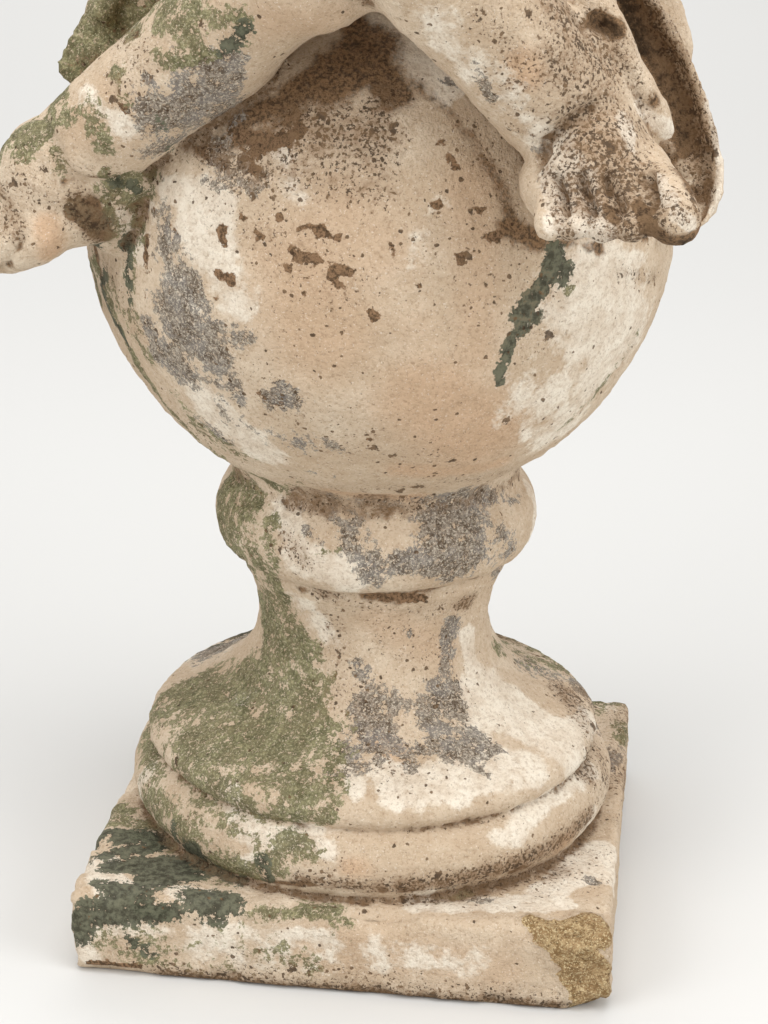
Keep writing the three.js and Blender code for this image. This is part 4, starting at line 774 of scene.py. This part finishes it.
SPECKLE = [
    (-18, -124, 416, 13, -126, 413, 11.9, 0.85), (-20, -131, 400, 14, -133, 397, 10.2, 0.65),
    (-40, -123, 406, -21, -129, 404, 7.7, 0.7), (16, -116, 430, 13, -125, 416, 6.8, 0.85),
    (49, -115, 417, 59, -116, 404, 6.8, 0.45), (42, -126, 399, 59, -125, 376, 6.8, 0.3),
    (90, -148, 473, 108, -133, 451, 13.9, 0.85), (92, -155, 455, 109, -143, 435, 12.2, 0.75),
    (68, -169, 468, 76, -156, 438, 10.5, 0.45), (103, -150, 425, 118, -158, 411, 13.9, 0.95),
    (102, -158, 405, 127, -176, 396, 12.1, 1), (129, -16, 432, 150, -29, 385, 6.5, 0.9),
    (140, -154, 412, 150, -173, 399, 4.9, 0.8), (133, -18, 450, 142, -22, 433, 2.8, 0.8),
    (-143, -122, 389, -127, -124, 381, 7.5, 0.5), (-148, -121, 368, -141, -123, 364, 5.3, 0.75),
    (-116, -121, 379, -109, -111, 364, 6.6, 1), (-82, -141, 446, -91, -138, 432, 8.5, 0.5),
    (-35, -70, 212, -24, -76, 200, 4.7, 0.7), (20, -70, 232, 51, -49, 227, 3.8, 0.7),
    (-66, -128, 1, 79, -127, 1, 4.9, 0.75), (-41, -130, 7, 56, -130, 7, 3.9, 0.55),
    (105, 26, 96, 122, -16, 67, 6.2, 0.7), (97, 13, 102, 111, -28, 77, 8.7, 0.9),
    (102, -62, 44, 118, -78, 43, 9, 0.35), (117, -76, 348, 133, -39, 337, 3.2, 0.7),
    (31, -58, 125, 49, -48, 121, 9.8, 0.35), (6, -122, 64, 102, -66, 52, 3.4, 0.35),
    (-4, -58, 148, 35, -56, 124, 11.7, 0.25), (64, -92, 79, 120, -29, 62, 3, 0.5),
    (76, -148, 424, 93, -153, 414, 4.9, 0.5), (88, -152, 410, 99, -173, 388, 4.9, 0.85),
    (126, -157, 408, 142, -179, 400, 5.6, 0.8), (114, -128, 451, 127, -123, 430, 5, 0.55),
    (61, -172, 472, 76, -163, 455, 6.4, 0.55), (53, -115, 413, 67, -118, 388, 3.4, 0.4),
    (108, -144, 437, 124, -135, 424, 6.6, 0.75), (-58, -117, 404, -43, -130, 386, 6, 0.4),
    (-104, -112, 379, -87, -109, 362, 6.2, 0.5), (-116, -79, 343, -96, -95, 316, 4.6, 0.45),
    (40, -83, 248, 70, -52, 244, 3.7, 0.5), (-25, -84, 244, 31, -83, 244, 3.2, 0.5),
    (-8, -62, 129, 26, -96, 100, 8.7, 0.4), (34, -47, 152, 53, -40, 123, 4.9, 0.4),
    (-125, -55, 429, -88, -131, 452, 6.2, 0.6), (114, -31, 74, 128, -14, 43, 4.1, 0.5),
    (84, -87, 51, 124, -96, 43, 6.9, 0.25), (125, 106, 42, 130, 13, 41, 4.4, 0.4),
    (123, -13, 454, 151, -28, 399, 6.5, 1), (146, -23, 402, 154, -37, 373, 4.2, 1),
    (-18, -65, 182, 52, -35, 168, 4.8, 0.95), (-18, -122, 57, 29, -119, 55, 3.8, 0.9),
    (29, -119, 55, 84, -91, 58, 4.8, 1), (84, -91, 58, 115, -43, 60, 5, 0.95),
    (-4, -123, 64, 102, -67, 55, 5.9, 0.5), (-86, -128, 2, 108, -128, 2, 4.4, 1),
    (-46, -129, 14, 108, -129, 7, 5.8, 0.45), (61, -102, 44, 103, -73, 44, 5.9, 0.8),
    (94, -93, 44, 121, -48, 44, 8, 0.4), (-63, -115, 404, -33, -129, 397, 5.2, 0.8),
    (20, -55, 160, 44, -51, 122, 9.8, 0.35), (-8, -62, 129, 34, -83, 104, 11.7, 0.4),
    (53, -113, 416, 85, -108, 329, 11.2, 0.42), (-4, -129, 409, 35, -134, 378, 16.9, 0.3),
    (-16, -137, 332, 25, -115, 278, 17.4, 0.2), (-122, -124, 399, -99, -127, 396, 5.2, 0.45),
    (-151, -117, 383, -141, -124, 367, 4.4, 0.8), (-14, -58, 164, -8, -65, 125, 7.8, 0.5),
    (11, -60, 166, 34, -49, 140, 10.7, 0.35), (-8, -66, 180, 34, -51, 168, 5.8, 0.5),
    (-43, -130, 386, 2, -140, 352, 15.3, 0.42), (22, -133, 394, 73, -118, 336, 15.4, 0.34),
    (-35, -125, 301, 42, -98, 263, 15.1, 0.34), (-105, -57, 280, -57, -86, 258, 9.4, 0.4),
]
# Pale bare stone; the strokes down the right side of the collar, neck and bell also paint the highlight
# that falls there
BARE_STONE_AND_HIGHLIGHT = [
    (-60, -124, 382, -56, -128, 368, 10.4, 0.9), (-78, -113, 385, -50, -127, 384, 5.2, 0.9),
    (105, -92, 344, 119, -61, 313, 18.8, 0.8), (83, -96, 293, 93, -57, 267, 15.5, 0.5),
    (-64, -105, 288, -39, -100, 264, 10, 0.7), (126, -62, 350, 109, -88, 355, 3.6, 0.8),
    (13, -93, 458, 40, -107, 434, 6.9, 0.8), (77, 1, 216, 77, -10, 191, 4.5, 1),
    (-26, -75, 203, -4, -79, 196, 8, 0.9), (51, -29, 147, 59, -33, 123, 4.5, 1),
    (68, -32, 115, 100, -38, 97, 13, 1), (27, -101, 98, 86, -66, 96, 8.2, 1),
    (99, -37, 98, 112, -3, 93, 6.1, 0.8), (-56, -101, 85, -44, -110, 74, 6.8, 0.8),
    (-20, -113, 77, 84, -89, 70, 3.9, 0.7), (-122, -98, 44, -111, -121, 44, 6.4, 1),
    (-101, -122, 44, -92, -117, 44, 3.9, 0.9), (-126, -130, 17, -120, -130, 10, 4, 0.9),
    (-77, -121, 44, -66, -123, 44, 4.9, 0.9), (39, -116, 44, 105, -104, 44, 5.8, 0.8),
    (115, -41, 56, 128, -73, 41, 7, 0.8), (92, -105, 364, 100, -164, 400, 2.5, 0.4),
    (152, -25, 416, 160, -34, 386, 1.8, 1), (156, -43, 370, 159, -35, 384, 1.8, 0.9),
    (123, -125, 430, 137, -113, 419, 2.9, 0.9), (-35, -62, 221, -26, -74, 208, 4.7, 0.8),
    (-4, -89, 105, 8, -106, 98, 3.8, 0.6), (-112, -52, 60, -105, -56, 74, 4.1, 0.8),
    (-61, -48, 113, -53, -47, 118, 4, 0.4), (42, -128, 390, 31, -136, 365, 5.9, 0.3),
    (-66, -123, 371, -42, -133, 343, 8.6, 0.6), (-100, -109, 372, -93, -104, 351, 3.6, 0.7),
    (-26, -124, 411, -16, -135, 389, 5.1, 0.4), (93, -104, 342, 110, -62, 293, 13.4, 0.6),
    (-106, -132, 427, -88, -136, 415, 6, 0.5), (53, -40, 123, 61, -61, 107, 4.9, 0.9),
    (16, -93, 103, 54, -94, 95, 5.8, 0.9), (83, -83, 76, 114, -24, 76, 5, 0.7),
    (-49, -113, 59, -19, -117, 75, 3.9, 0.5), (-114, -130, 25, -17, -131, 32, 3.9, 0.5),
    (141, -180, 400, 147, -178, 396, 2.4, 1), (93, -151, 418, 110, -176, 389, 6.1, 0.85),
    (118, -141, 429, 137, -175, 405, 3.7, 0.8), (88, -152, 410, 93, -170, 391, 3.3, 0.8),
    (95, -102, 44, 123, -47, 43, 7, 0.95), (41, -173, 471, 86, -143, 420, 8.9, 0.4),
    (-66, -129, 20, 70, -130, 25, 7.8, 0.42), (-29, -55, 172, -12, -56, 152, 5.8, 0.5),
    (-55, -130, 30, -2, -130, 32, 3.9, 0.6), (-44, -110, 74, -4, -120, 72, 4.3, 0.6),
    (59, 2, 159, 74, -28, 210, 3, 0.4), (-87, -106, 374, -66, -123, 339, 5.3, 0.5),
]
WARM_STONE = [
    (-15, -139, 359, -7, -138, 333, 23.4, 0.6), (39, -124, 300, 60, -100, 276, 20.3, 0.85),
    (66, -103, 285, 71, -97, 282, 4, 1), (1, -138, 377, 14, -138, 369, 19, 0.5),
    (24, -99, 258, 67, -74, 255, 5.5, 0.8), (77, -162, 453, 79, -161, 449, 6.4, 0.9),
    (-129, -123, 369, -128, -120, 357, 5.3, 1), (15, -79, 110, 23, -83, 107, 4.4, 0.8),
    (6, -122, 65, 105, -62, 55, 4.4, 0.9), (11, -60, 166, 38, -43, 145, 9.7, 0.5),
    (-12, -77, 238, 30, -69, 234, 3.3, 0.8), (-17, -130, 29, 79, -129, 21, 10.6, 0.45),
    (-96, -137, 424, -106, -134, 418, 12.8, 0.4), (-20, -160, 467, 0, -159, 468, 12.2, 0.5),
    (54, -122, 393, 58, -123, 319, 11.1, 0.55), (34, -135, 334, 44, -122, 300, 12.9, 0.4),
]
FRESH_BREAK = [
    (100, -129, 44, 125, -124, 43, 8.6, 1), (112, -130, 35, 126, -128, 16, 10.6, 1),
    (116, -124, 43, 121, -120, 2, 10.6, 1), (113, -127, 20, 124, -118, 2, 6.8, 1),
    (92, -123, 45, 106, -123, 43, 3.8, 1), (120, -114, 45, 126, -127, 13, 5.8, 1),
    (92, -123, 45, 106, -127, 41, 3.8, 1),
]
ROUGH_STONE = [(-139, -54, 428, -118, -41, 451, 15.8, 1.0), (-119, -121, 381, -100, -98, 372, 12, 1)]


def brushed(spots, strokes, soft=2.2, hard=0.3):
    value = np.zeros(len(spots))
    for x0, y0, z0, x1, y1, z1, radius, strength in strokes:
        start = np.array((x0, y0, z0)) / 1000
        along = np.array((x1 - x0, y1 - y0, z1 - z0)) / 1000
        share = np.clip((spots - start) @ along / max(along @ along, 1e-9), 0, 1)
        away = np.linalg.norm(spots - start - share[:, None] * along, axis=1) / (radius / 1000)
        value = np.maximum(value, strength * (1 - smoothstep(away, hard, soft)))
    return value


# Weather wears the whole surface with broad dents, pits and a fine grain, chips the plinth's arrises,
# and leaves broken stone and moss rough. The plinth's underside stays flat.
TRIANGLES = 196000
fine_noise = cloudy(spots, 120, 2)
wear = 0.0010 * cloudy(spots, 26, 1) + 0.0006 * fine_noise + 0.0003 * cloudy(spots, 330, 3, 2)
wear += brushed(spots, FRESH_BREAK) * 0.0016 * fine_noise
wear += brushed(spots, MOSS) * 0.0008 * cloudy(spots, 210, 4, 2)
wear += brushed(spots, ROUGH_STONE) * 0.0032 * cloudy(spots, 75, 5)
to_side = np.abs(spots[:, :2]).max(1) - PLINTH_HALF
to_corner = np.linalg.norm(np.abs(spots[:, :2]) - PLINTH_HALF, axis=1)
to_level = np.minimum(np.abs(spots[:, 2] - PLINTH_TOP), spots[:, 2])
to_arris = np.minimum(np.hypot(to_side, to_level), to_corner)
on_plinth = 1 - smoothstep(spots[:, 2], PLINTH_TOP + 0.002, PLINTH_TOP + 0.006)
chips = on_plinth * (1 - smoothstep(to_arris, 0.001, 0.011)) * np.clip(cloudy(spots, 42, 6) - 0.02, 0, 1)
wear -= 0.0085 * chips
spots = spots + outward * (wear * smoothstep(spots[:, 2], 0.0004, 0.003))[:, None]
statue.data.vertices.foreach_set("co", spots.ravel())
statue.data.update()
thin = statue.modifiers.new("thin", "DECIMATE")
thin.ratio = min(1, TRIANGLES / (2 * len(statue.data.polygons)))
bpy.ops.object.modifier_apply(modifier="thin")
bpy.ops.object.shade_smooth()

# What grows on the stone and stains it, and painted shade in its hollows. On the side that the photograph
# shows, it follows the strokes.
# Each kind is kept on the stone as a share from 0 to 1; the stain and shadow share goes higher where
# painted deep shade is darkest.
spots, outward = places(statue)
count = len(spots)
edges = np.empty(len(statue.data.edges) * 2, dtype=np.int64)
statue.data.edges.foreach_get("vertices", edges)
edges = edges.reshape(-1, 2)
ends = np.concatenate((edges, edges[:, ::-1]))


def around_average(values):
    total = np.stack([np.bincount(ends[:, 0], column[ends[:, 1]], count) for column in values.T], 1)
    return total / np.maximum(np.bincount(ends[:, 0], minlength=count), 1)[:, None]


# Round the back and over the figure the growth follows what the front shows: moss on the damp side and
# on ledges, the other kinds in loose patches, and grime with painted shade darkening every hollow. The face
# stays nearly clean.
smoothed = spots
for _ in range(14):
    smoothed = around_average(smoothed)
hollow = ((smoothed - spots) * outward).sum(1)
hollow = around_average(hollow[:, None])[:, 0]
unseen = np.maximum(smoothstep(spots[:, 1], -0.015, 0.05), smoothstep(spots[:, 2], 0.5, 0.53))
drift = cloudy(spots, 9, 1)
patchy = cloudy(spots, 16, 2)
ledge = smoothstep(outward[:, 2], 0.3, 0.95)
damp_side = smoothstep(-spots[:, 0] * 3 + spots[:, 1] * 2.4 + 0.15, -0.35, 0.75)
face = np.exp(-((spots - np.array(skull @ Vector(s(0, -0.13, -0.03)))) ** 2).sum(1) / 0.034 ** 2)
moss = unseen * (1 - face) * np.clip(0.1 + 1.3 * drift + 0.55 * damp_side + 0.3 * ledge - 0.25, 0, 1)
lichen = unseen * (1 - face) * np.clip(0.05 + 1.9 * patchy + 0.1 * ledge, 0, 0.95)
speckle = 0.07 + unseen * np.clip(0.3 + 1.1 * cloudy(spots, 12, 3), 0, 0.75)
# Concave places get dirt and painted shade: this darkens every hollow through the stain and speckle masks
hollow_grime_and_shade = smoothstep(hollow, 0.0004, 0.0022) * (1 - 0.6 * face)
gaps = np.clip(2.2 * cloudy(spots, 44, 8), 0, 1)
dark = unseen * np.clip(1.5 * cloudy(spots, 14, 4) - 0.15, 0, 0.9)
rust = unseen * (1 - face) * np.clip(1.4 * cloudy(spots, 40, 5) - 0.2, 0, 0.7)
bare = unseen * np.clip(1.6 * cloudy(spots, 11, 6) - 0.1, 0, 0.8)
warm = unseen * np.clip(0.25 + cloudy(spots, 7, 7), 0, 0.7)
masks = {
    "moss": np.maximum(brushed(spots, MOSS) * (0.95 - 0.28 * gaps), moss),
    "dark_moss": np.maximum(brushed(spots, DARK_MOSS), dark),
    "lichen": np.maximum(brushed(spots, LICHEN) * (0.95 - 0.25 * gaps), lichen),
    "rust": np.maximum(brushed(spots, RUST_FLECKS, 1.7, 0.5), rust),
    # Stains, painted shadow lines and deep shade, and painted shade in every hollow
    "stain_and_shadow": np.maximum(brushed(spots, STAINS_AND_PAINTED_SHADOW), 0.6 * hollow_grime_and_shade),
    # Speckled dirt, and painted shade in every hollow
    "speckle": np.maximum(np.maximum(brushed(spots, SPECKLE), speckle), 0.75 * hollow_grime_and_shade),
    # Pale bare stone, with a painted highlight down the right side of the collar, neck and bell
    "bare": np.maximum(brushed(spots, BARE_STONE_AND_HIGHLIGHT), bare),
    "warm": np.maximum(brushed(spots, WARM_STONE), warm),
    "fresh_break": brushed(spots, FRESH_BREAK, 1.4, 0.6),
}
for name, value in masks.items():
    layer = statue.data.attributes.new(name, "FLOAT", "POINT")
    layer.data.foreach_set("value", value.astype(np.float32))

stone = bpy.data.materials.new("weathered_stone")
stone.use_nodes = True
nodes = stone.node_tree.nodes
wires = stone.node_tree.links
shader = nodes["Principled BSDF"]
place = nodes.new("ShaderNodeTexCoord").outputs["Object"]


def feed(socket, value):
    if isinstance(value, (int, float, tuple)):
        socket.default_value = value
    else:
        wires.new(value, socket)


def grain(scale, detail, roughness, shift=0):
    texture = nodes.new("ShaderNodeTexNoise")
    spot = place
    if shift:
        moved = nodes.new("ShaderNodeVectorMath")
        wires.new(place, moved.inputs[0])
        moved.inputs[1].default_value = (shift, shift * 1.7, -shift)
        spot = moved.outputs[0]
    wires.new(spot, texture.inputs["Vector"])
    texture.inputs["Scale"].default_value = scale
    texture.inputs["Detail"].default_value = detail
    texture.inputs["Roughness"].default_value = roughness
    return texture.outputs["Fac"]


def reckon(operation, a, b=0.0, c=0.0):
    node = nodes.new("ShaderNodeMath")
    node.operation = operation
    for socket, value in zip(node.inputs, (a, b, c)):
        feed(socket, value)
    return node.outputs[0]


def scaled(value, factor, plus):
    return reckon("MULTIPLY_ADD", value, factor, plus)


def ramp(value, low, high, to_low=0, to_high=1):
    node = nodes.new("ShaderNodeMapRange")
    node.interpolation_type = "SMOOTHSTEP"
    feed(node.inputs["Value"], value)
    for name, number in (("From Min", low), ("From Max", high), ("To Min", to_low), ("To Max", to_high)):
        feed(node.inputs[name], number)
    return node.outputs[0]


def mask(name):
    node = nodes.new("ShaderNodeAttribute")
    node.attribute_name = name
    return node.outputs["Fac"]


def colour(*levels):
    shares = [level / 255 for level in levels]
    linear = [share / 12.92 if share < 0.04045 else ((share + 0.055) / 1.055) ** 2.4 for share in shares]
    return (*linear, 1)


def blend(share, under, over):
    node = nodes.new("ShaderNodeMix")
    node.data_type = "RGBA"
    feed(node.inputs[0], share)
    feed(node.inputs[6], under)
    feed(node.inputs[7], over)
    return node.outputs[2]


# A ground colour in 0 to 255, and coats over it: each shows where its noise passes from low to high,
# by a share that goes from 0 to 1 or as the coat says
def layered(ground, *coats):
    shown = colour(*ground)
    for value, low, high, shade, *shares in coats:
        shown = blend(ramp(value, low, high, *shares), shown, colour(*shade))
    return shown


# The cover of one kind of growth, with its soft mask turned into a ragged edge
def ragged(name, coarse, spread=1.0, edge=0.05):
    wander = scaled(coarse, 1.6 * spread, scaled(blots, 1.9 * spread, -2.15 * spread))
    wander = scaled(specks, 0.8 * spread, wander)
    return ramp(scaled(wander, ramp(mask(name), 0.02, 0.3), mask(name)), 0.5 - edge, 0.5 + edge)


# Separate dark grains, of which a share given by chance is there
def flecks(scale, chance, small, large):
    bent = nodes.new("ShaderNodeVectorMath")
    bent.operation = "MULTIPLY_ADD"
    wires.new(bends, bent.inputs[0])
    bent.inputs[1].default_value = (0.9 / scale,) * 3
    wires.new(place, bent.inputs[2])
    cells = nodes.new("ShaderNodeTexVoronoi")
    wires.new(bent.outputs[0], cells.inputs["Vector"])
    cells.inputs["Scale"].default_value = scale
    parts = nodes.new("ShaderNodeSeparateColor")
    wires.new(cells.outputs["Color"], parts.inputs[0])
    picked = reckon("LESS_THAN", parts.outputs[0], chance)
    size = ramp(parts.outputs[1], 0, 1, small, large)
    return reckon("MULTIPLY", picked, ramp(reckon("SUBTRACT", size, cells.outputs["Distance"]), 0, 0.06))


bend_noise = nodes.new("ShaderNodeTexNoise")
wires.new(place, bend_noise.inputs["Vector"])
bend_noise.inputs["Scale"].default_value = 330
bend_noise.inputs["Detail"].default_value = 3
bends = bend_noise.outputs["Color"]
clouds = grain(13, 3, 0.62)
mottle = grain(70, 5, 0.7, shift=3)
sand = grain(520, 3, 0.78, shift=5)
blots = grain(230, 4, 0.7, shift=9)
specks = grain(620, 3, 0.66, shift=13)
clumps = grain(85, 5, 0.74, shift=17)
crumbs = grain(900, 2, 0.8, shift=21)

tone = layered((215, 198, 175),
               (clouds, 0.38, 0.62, (198, 178, 153)),
               (mask("warm"), 0, 1, (200, 166, 134), 0, 0.85),
               # the pale coat also paints the highlight down the right side of the collar, neck and bell
               (scaled(mottle, 1.5, mask("bare")), 0.98, 1.28, (234, 224, 207), 0, 0.95),
               (mottle, 0.35, 0.65, (184, 158, 130), 0.38, 0),
               (blots, 0.3, 0.55, (174, 148, 118), 0.36, 0),
               (sand, 0.28, 0.52, (142, 114, 86), 0.5, 0),
               (crumbs, 0.6, 0.7, (246, 239, 226), 0, 0.4))

broken = layered((136, 108, 70),
                 (blots, 0.38, 0.6, (190, 163, 122)),
                 (specks, 0.36, 0.5, (118, 92, 60), 1, 0),
                 (mottle, 0.42, 0.58, (150, 120, 84), 0.5, 0),
                 (crumbs, 0.52, 0.64, (222, 202, 160), 0, 0.8))
tone = blend(ragged("fresh_break", mottle, 0.4), tone, broken)

# Stains and painted shade: the stain colour also paints the shadow lines and the shade in the hollows
stain_and_shadow_mottle = scaled(blots, 0.9, scaled(clumps, 0.9, -0.9))
stain_and_shadow = mask("stain_and_shadow")
stain_and_shadow_cover = ramp(scaled(stain_and_shadow_mottle, ramp(stain_and_shadow, 0.02, 0.3), stain_and_shadow), 0.12, 0.75, 0, 0.93)
tone = blend(stain_and_shadow_cover, tone, layered((66, 48, 30), (specks, 0.36, 0.62, (140, 108, 76))))
# Painted deep shade: near black where the strokes go above 1, in the deepest hollows
tone = blend(ramp(scaled(stain_and_shadow_mottle, 0.5, stain_and_shadow), 1.05, 1.7, 0, 0.9), tone, colour(46, 34, 21))
rust_cover = ragged("rust", mottle, 0.55, 0.07)
tone = blend(rust_cover, tone, layered((84, 66, 48), (specks, 0.38, 0.62, (144, 114, 86))))

lichen_cover = reckon("MULTIPLY", ragged("lichen", clumps), ramp(sand, 0.56, 0.64, 1, 0.3))
crust = layered((84, 70, 56),
                (blots, 0.4, 0.6, (158, 148, 134)),
                (specks, 0.36, 0.6, (70, 56, 44), 0.8, 0),
                (mottle, 0.46, 0.6, (132, 129, 126), 0, 0.5),
                (crumbs, 0.52, 0.64, (206, 196, 178), 0, 0.75))
tone = blend(reckon("MULTIPLY", lichen_cover, 0.93), tone, crust)

moss_cover = reckon("MULTIPLY", ragged("moss", clumps, 1.15, 0.08), ramp(sand, 0.57, 0.64, 1, 0.25))
green = layered((88, 90, 58),
                (blots, 0.36, 0.62, (160, 155, 116)),
                (mottle, 0.42, 0.6, (116, 104, 76), 0.45, 0),
                (specks, 0.4, 0.66, (68, 66, 42), 0.6, 0),
                (crumbs, 0.56, 0.68, (196, 190, 156), 0, 0.6))
tone = blend(reckon("MULTIPLY", moss_cover, 0.94), tone, green)
dark_cover = reckon("MULTIPLY", ragged("dark_moss", clumps, 1, 0.07), 0.96)
tone = blend(dark_cover, tone, layered((56, 57, 45), (blots, 0.38, 0.64, (104, 105, 86))))

# Film and specks of dirt, which in every hollow also paint shade
dirt_and_hollow_shade = mask("speckle")
film = scaled(blots, 1.2, scaled(dirt_and_hollow_shade, 0.62, -0.8))
tone = blend(ramp(film, 0, 0.55, 0, 0.72), tone, colour(138, 110, 82))
speck_cover = ramp(reckon("SUBTRACT", specks, scaled(dirt_and_hollow_shade, -0.23, 0.69)), -0.01, 0.07)
speck_cover = reckon("MAXIMUM", speck_cover, flecks(120, scaled(dirt_and_hollow_shade, 0.38, -0.01), 0.1, 0.34))
speck_cover = reckon("MAXIMUM", speck_cover, flecks(330, scaled(dirt_and_hollow_shade, 0.7, 0.02), 0.12, 0.36))
dark_grain = layered((62, 46, 32), (blots, 0.4, 0.6, (114, 90, 65)))
tone = blend(reckon("MULTIPLY", speck_cover, 0.88), tone, dark_grain)
feed(shader.inputs["Base Color"], tone)
feed(shader.inputs["Roughness"], 0.92)
feed(shader.inputs["Specular IOR Level"], 0.22)

rough_growth = scaled(mask("fresh_break"), 2.4, scaled(mask("moss"), 1.3, 0.7))
fine_growth = scaled(mask("lichen"), 0.8, scaled(dirt_and_hollow_shade, -1.1, 0.1))
relief = scaled(specks, fine_growth, scaled(blots, rough_growth, scaled(sand, 0.6, mottle)))
bump = nodes.new("ShaderNodeBump")
feed(bump.inputs["Strength"], 0.75)
feed(bump.inputs["Distance"], 0.0022)
feed(bump.inputs["Height"], relief)
feed(shader.inputs["Normal"], bump.outputs["Normal"])
statue.data.materials.clear()
statue.data.materials.append(stone)
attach(statue, "root")
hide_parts("putto_statue")

# A plain pale floor, soft studio light, and a camera at the photograph's place and angle
bpy.ops.mesh.primitive_plane_add(size=12, location=(0, 0, 0))
floor = bpy.context.object
floor.name = "floor"
paper = bpy.data.materials.new("pale_floor")
paper.use_nodes = True
paper.node_tree.nodes["Principled BSDF"].inputs["Base Color"].default_value = (0.65, 0.647, 0.632, 1)
paper.node_tree.nodes["Principled BSDF"].inputs["Roughness"].default_value = 0.95
floor.data.materials.append(paper)

world = bpy.data.worlds.new("studio")
bpy.context.scene.world = world
world.use_nodes = True
world.node_tree.nodes["Background"].inputs["Color"].default_value = (1, 0.99, 0.98, 1)
world.node_tree.nodes["Background"].inputs["Strength"].default_value = 0.62


def soft_light(name, place, target, size, power):
    bpy.ops.object.light_add(type="AREA", location=place)
    light = bpy.context.object
    light.name = name
    light.data.size = size
    light.data.energy = power
    light.rotation_euler = (Vector(target) - Vector(place)).to_track_quat("-Z", "Y").to_euler()


soft_light("overhead_softbox", (0.1, -0.5, 2.3), (0, 0, 0.3), 1.6, 30)
soft_light("left_softbox", (-1.3, -1.5, 1.4), (0, 0, 0.35), 1.1, 20)
soft_light("right_softbox", (1.7, -0.9, 1.2), (0, 0, 0.3), 1.2, 19)
soft_light("floor_softbox", (-0.6, 3.4, 2.8), (-0.6, 3.6, 0), 3.0, 60)

# The photograph's camera, as fitted to the outlines of the ball, the mouldings and the plinth
EYE = (0.143, -1.089, 0.618)
FOCUS_IN_PIXELS = 2348.08
PIXELS_HIGH = 1024
SENSOR = 36
turn = math.radians(7.27)
pitch = math.radians(20.896)
lean = 0.0155
forward = Vector((-math.sin(turn) * math.cos(pitch), math.cos(turn) * math.cos(pitch), -math.sin(pitch)))
right = Vector((math.cos(turn) * math.cos(lean), math.sin(turn) * math.cos(lean), math.sin(lean)))
right = (right - forward * right.dot(forward)).normalized()
upward = right.cross(forward)
camera_data = bpy.data.cameras.new("camera")
camera_data.sensor_width = SENSOR
camera_data.sensor_fit = "AUTO"
camera_data.lens = FOCUS_IN_PIXELS / PIXELS_HIGH * SENSOR
camera_data.clip_end = 50
camera = bpy.data.objects.new("camera", camera_data)
bpy.context.collection.objects.link(camera)
bpy.context.scene.view_settings.view_transform = "Standard"
camera.matrix_world = (Matrix.Translation(EYE)
                       @ Matrix((right, upward, -forward)).transposed().to_4x4())
bpy.context.scene.camera = camera
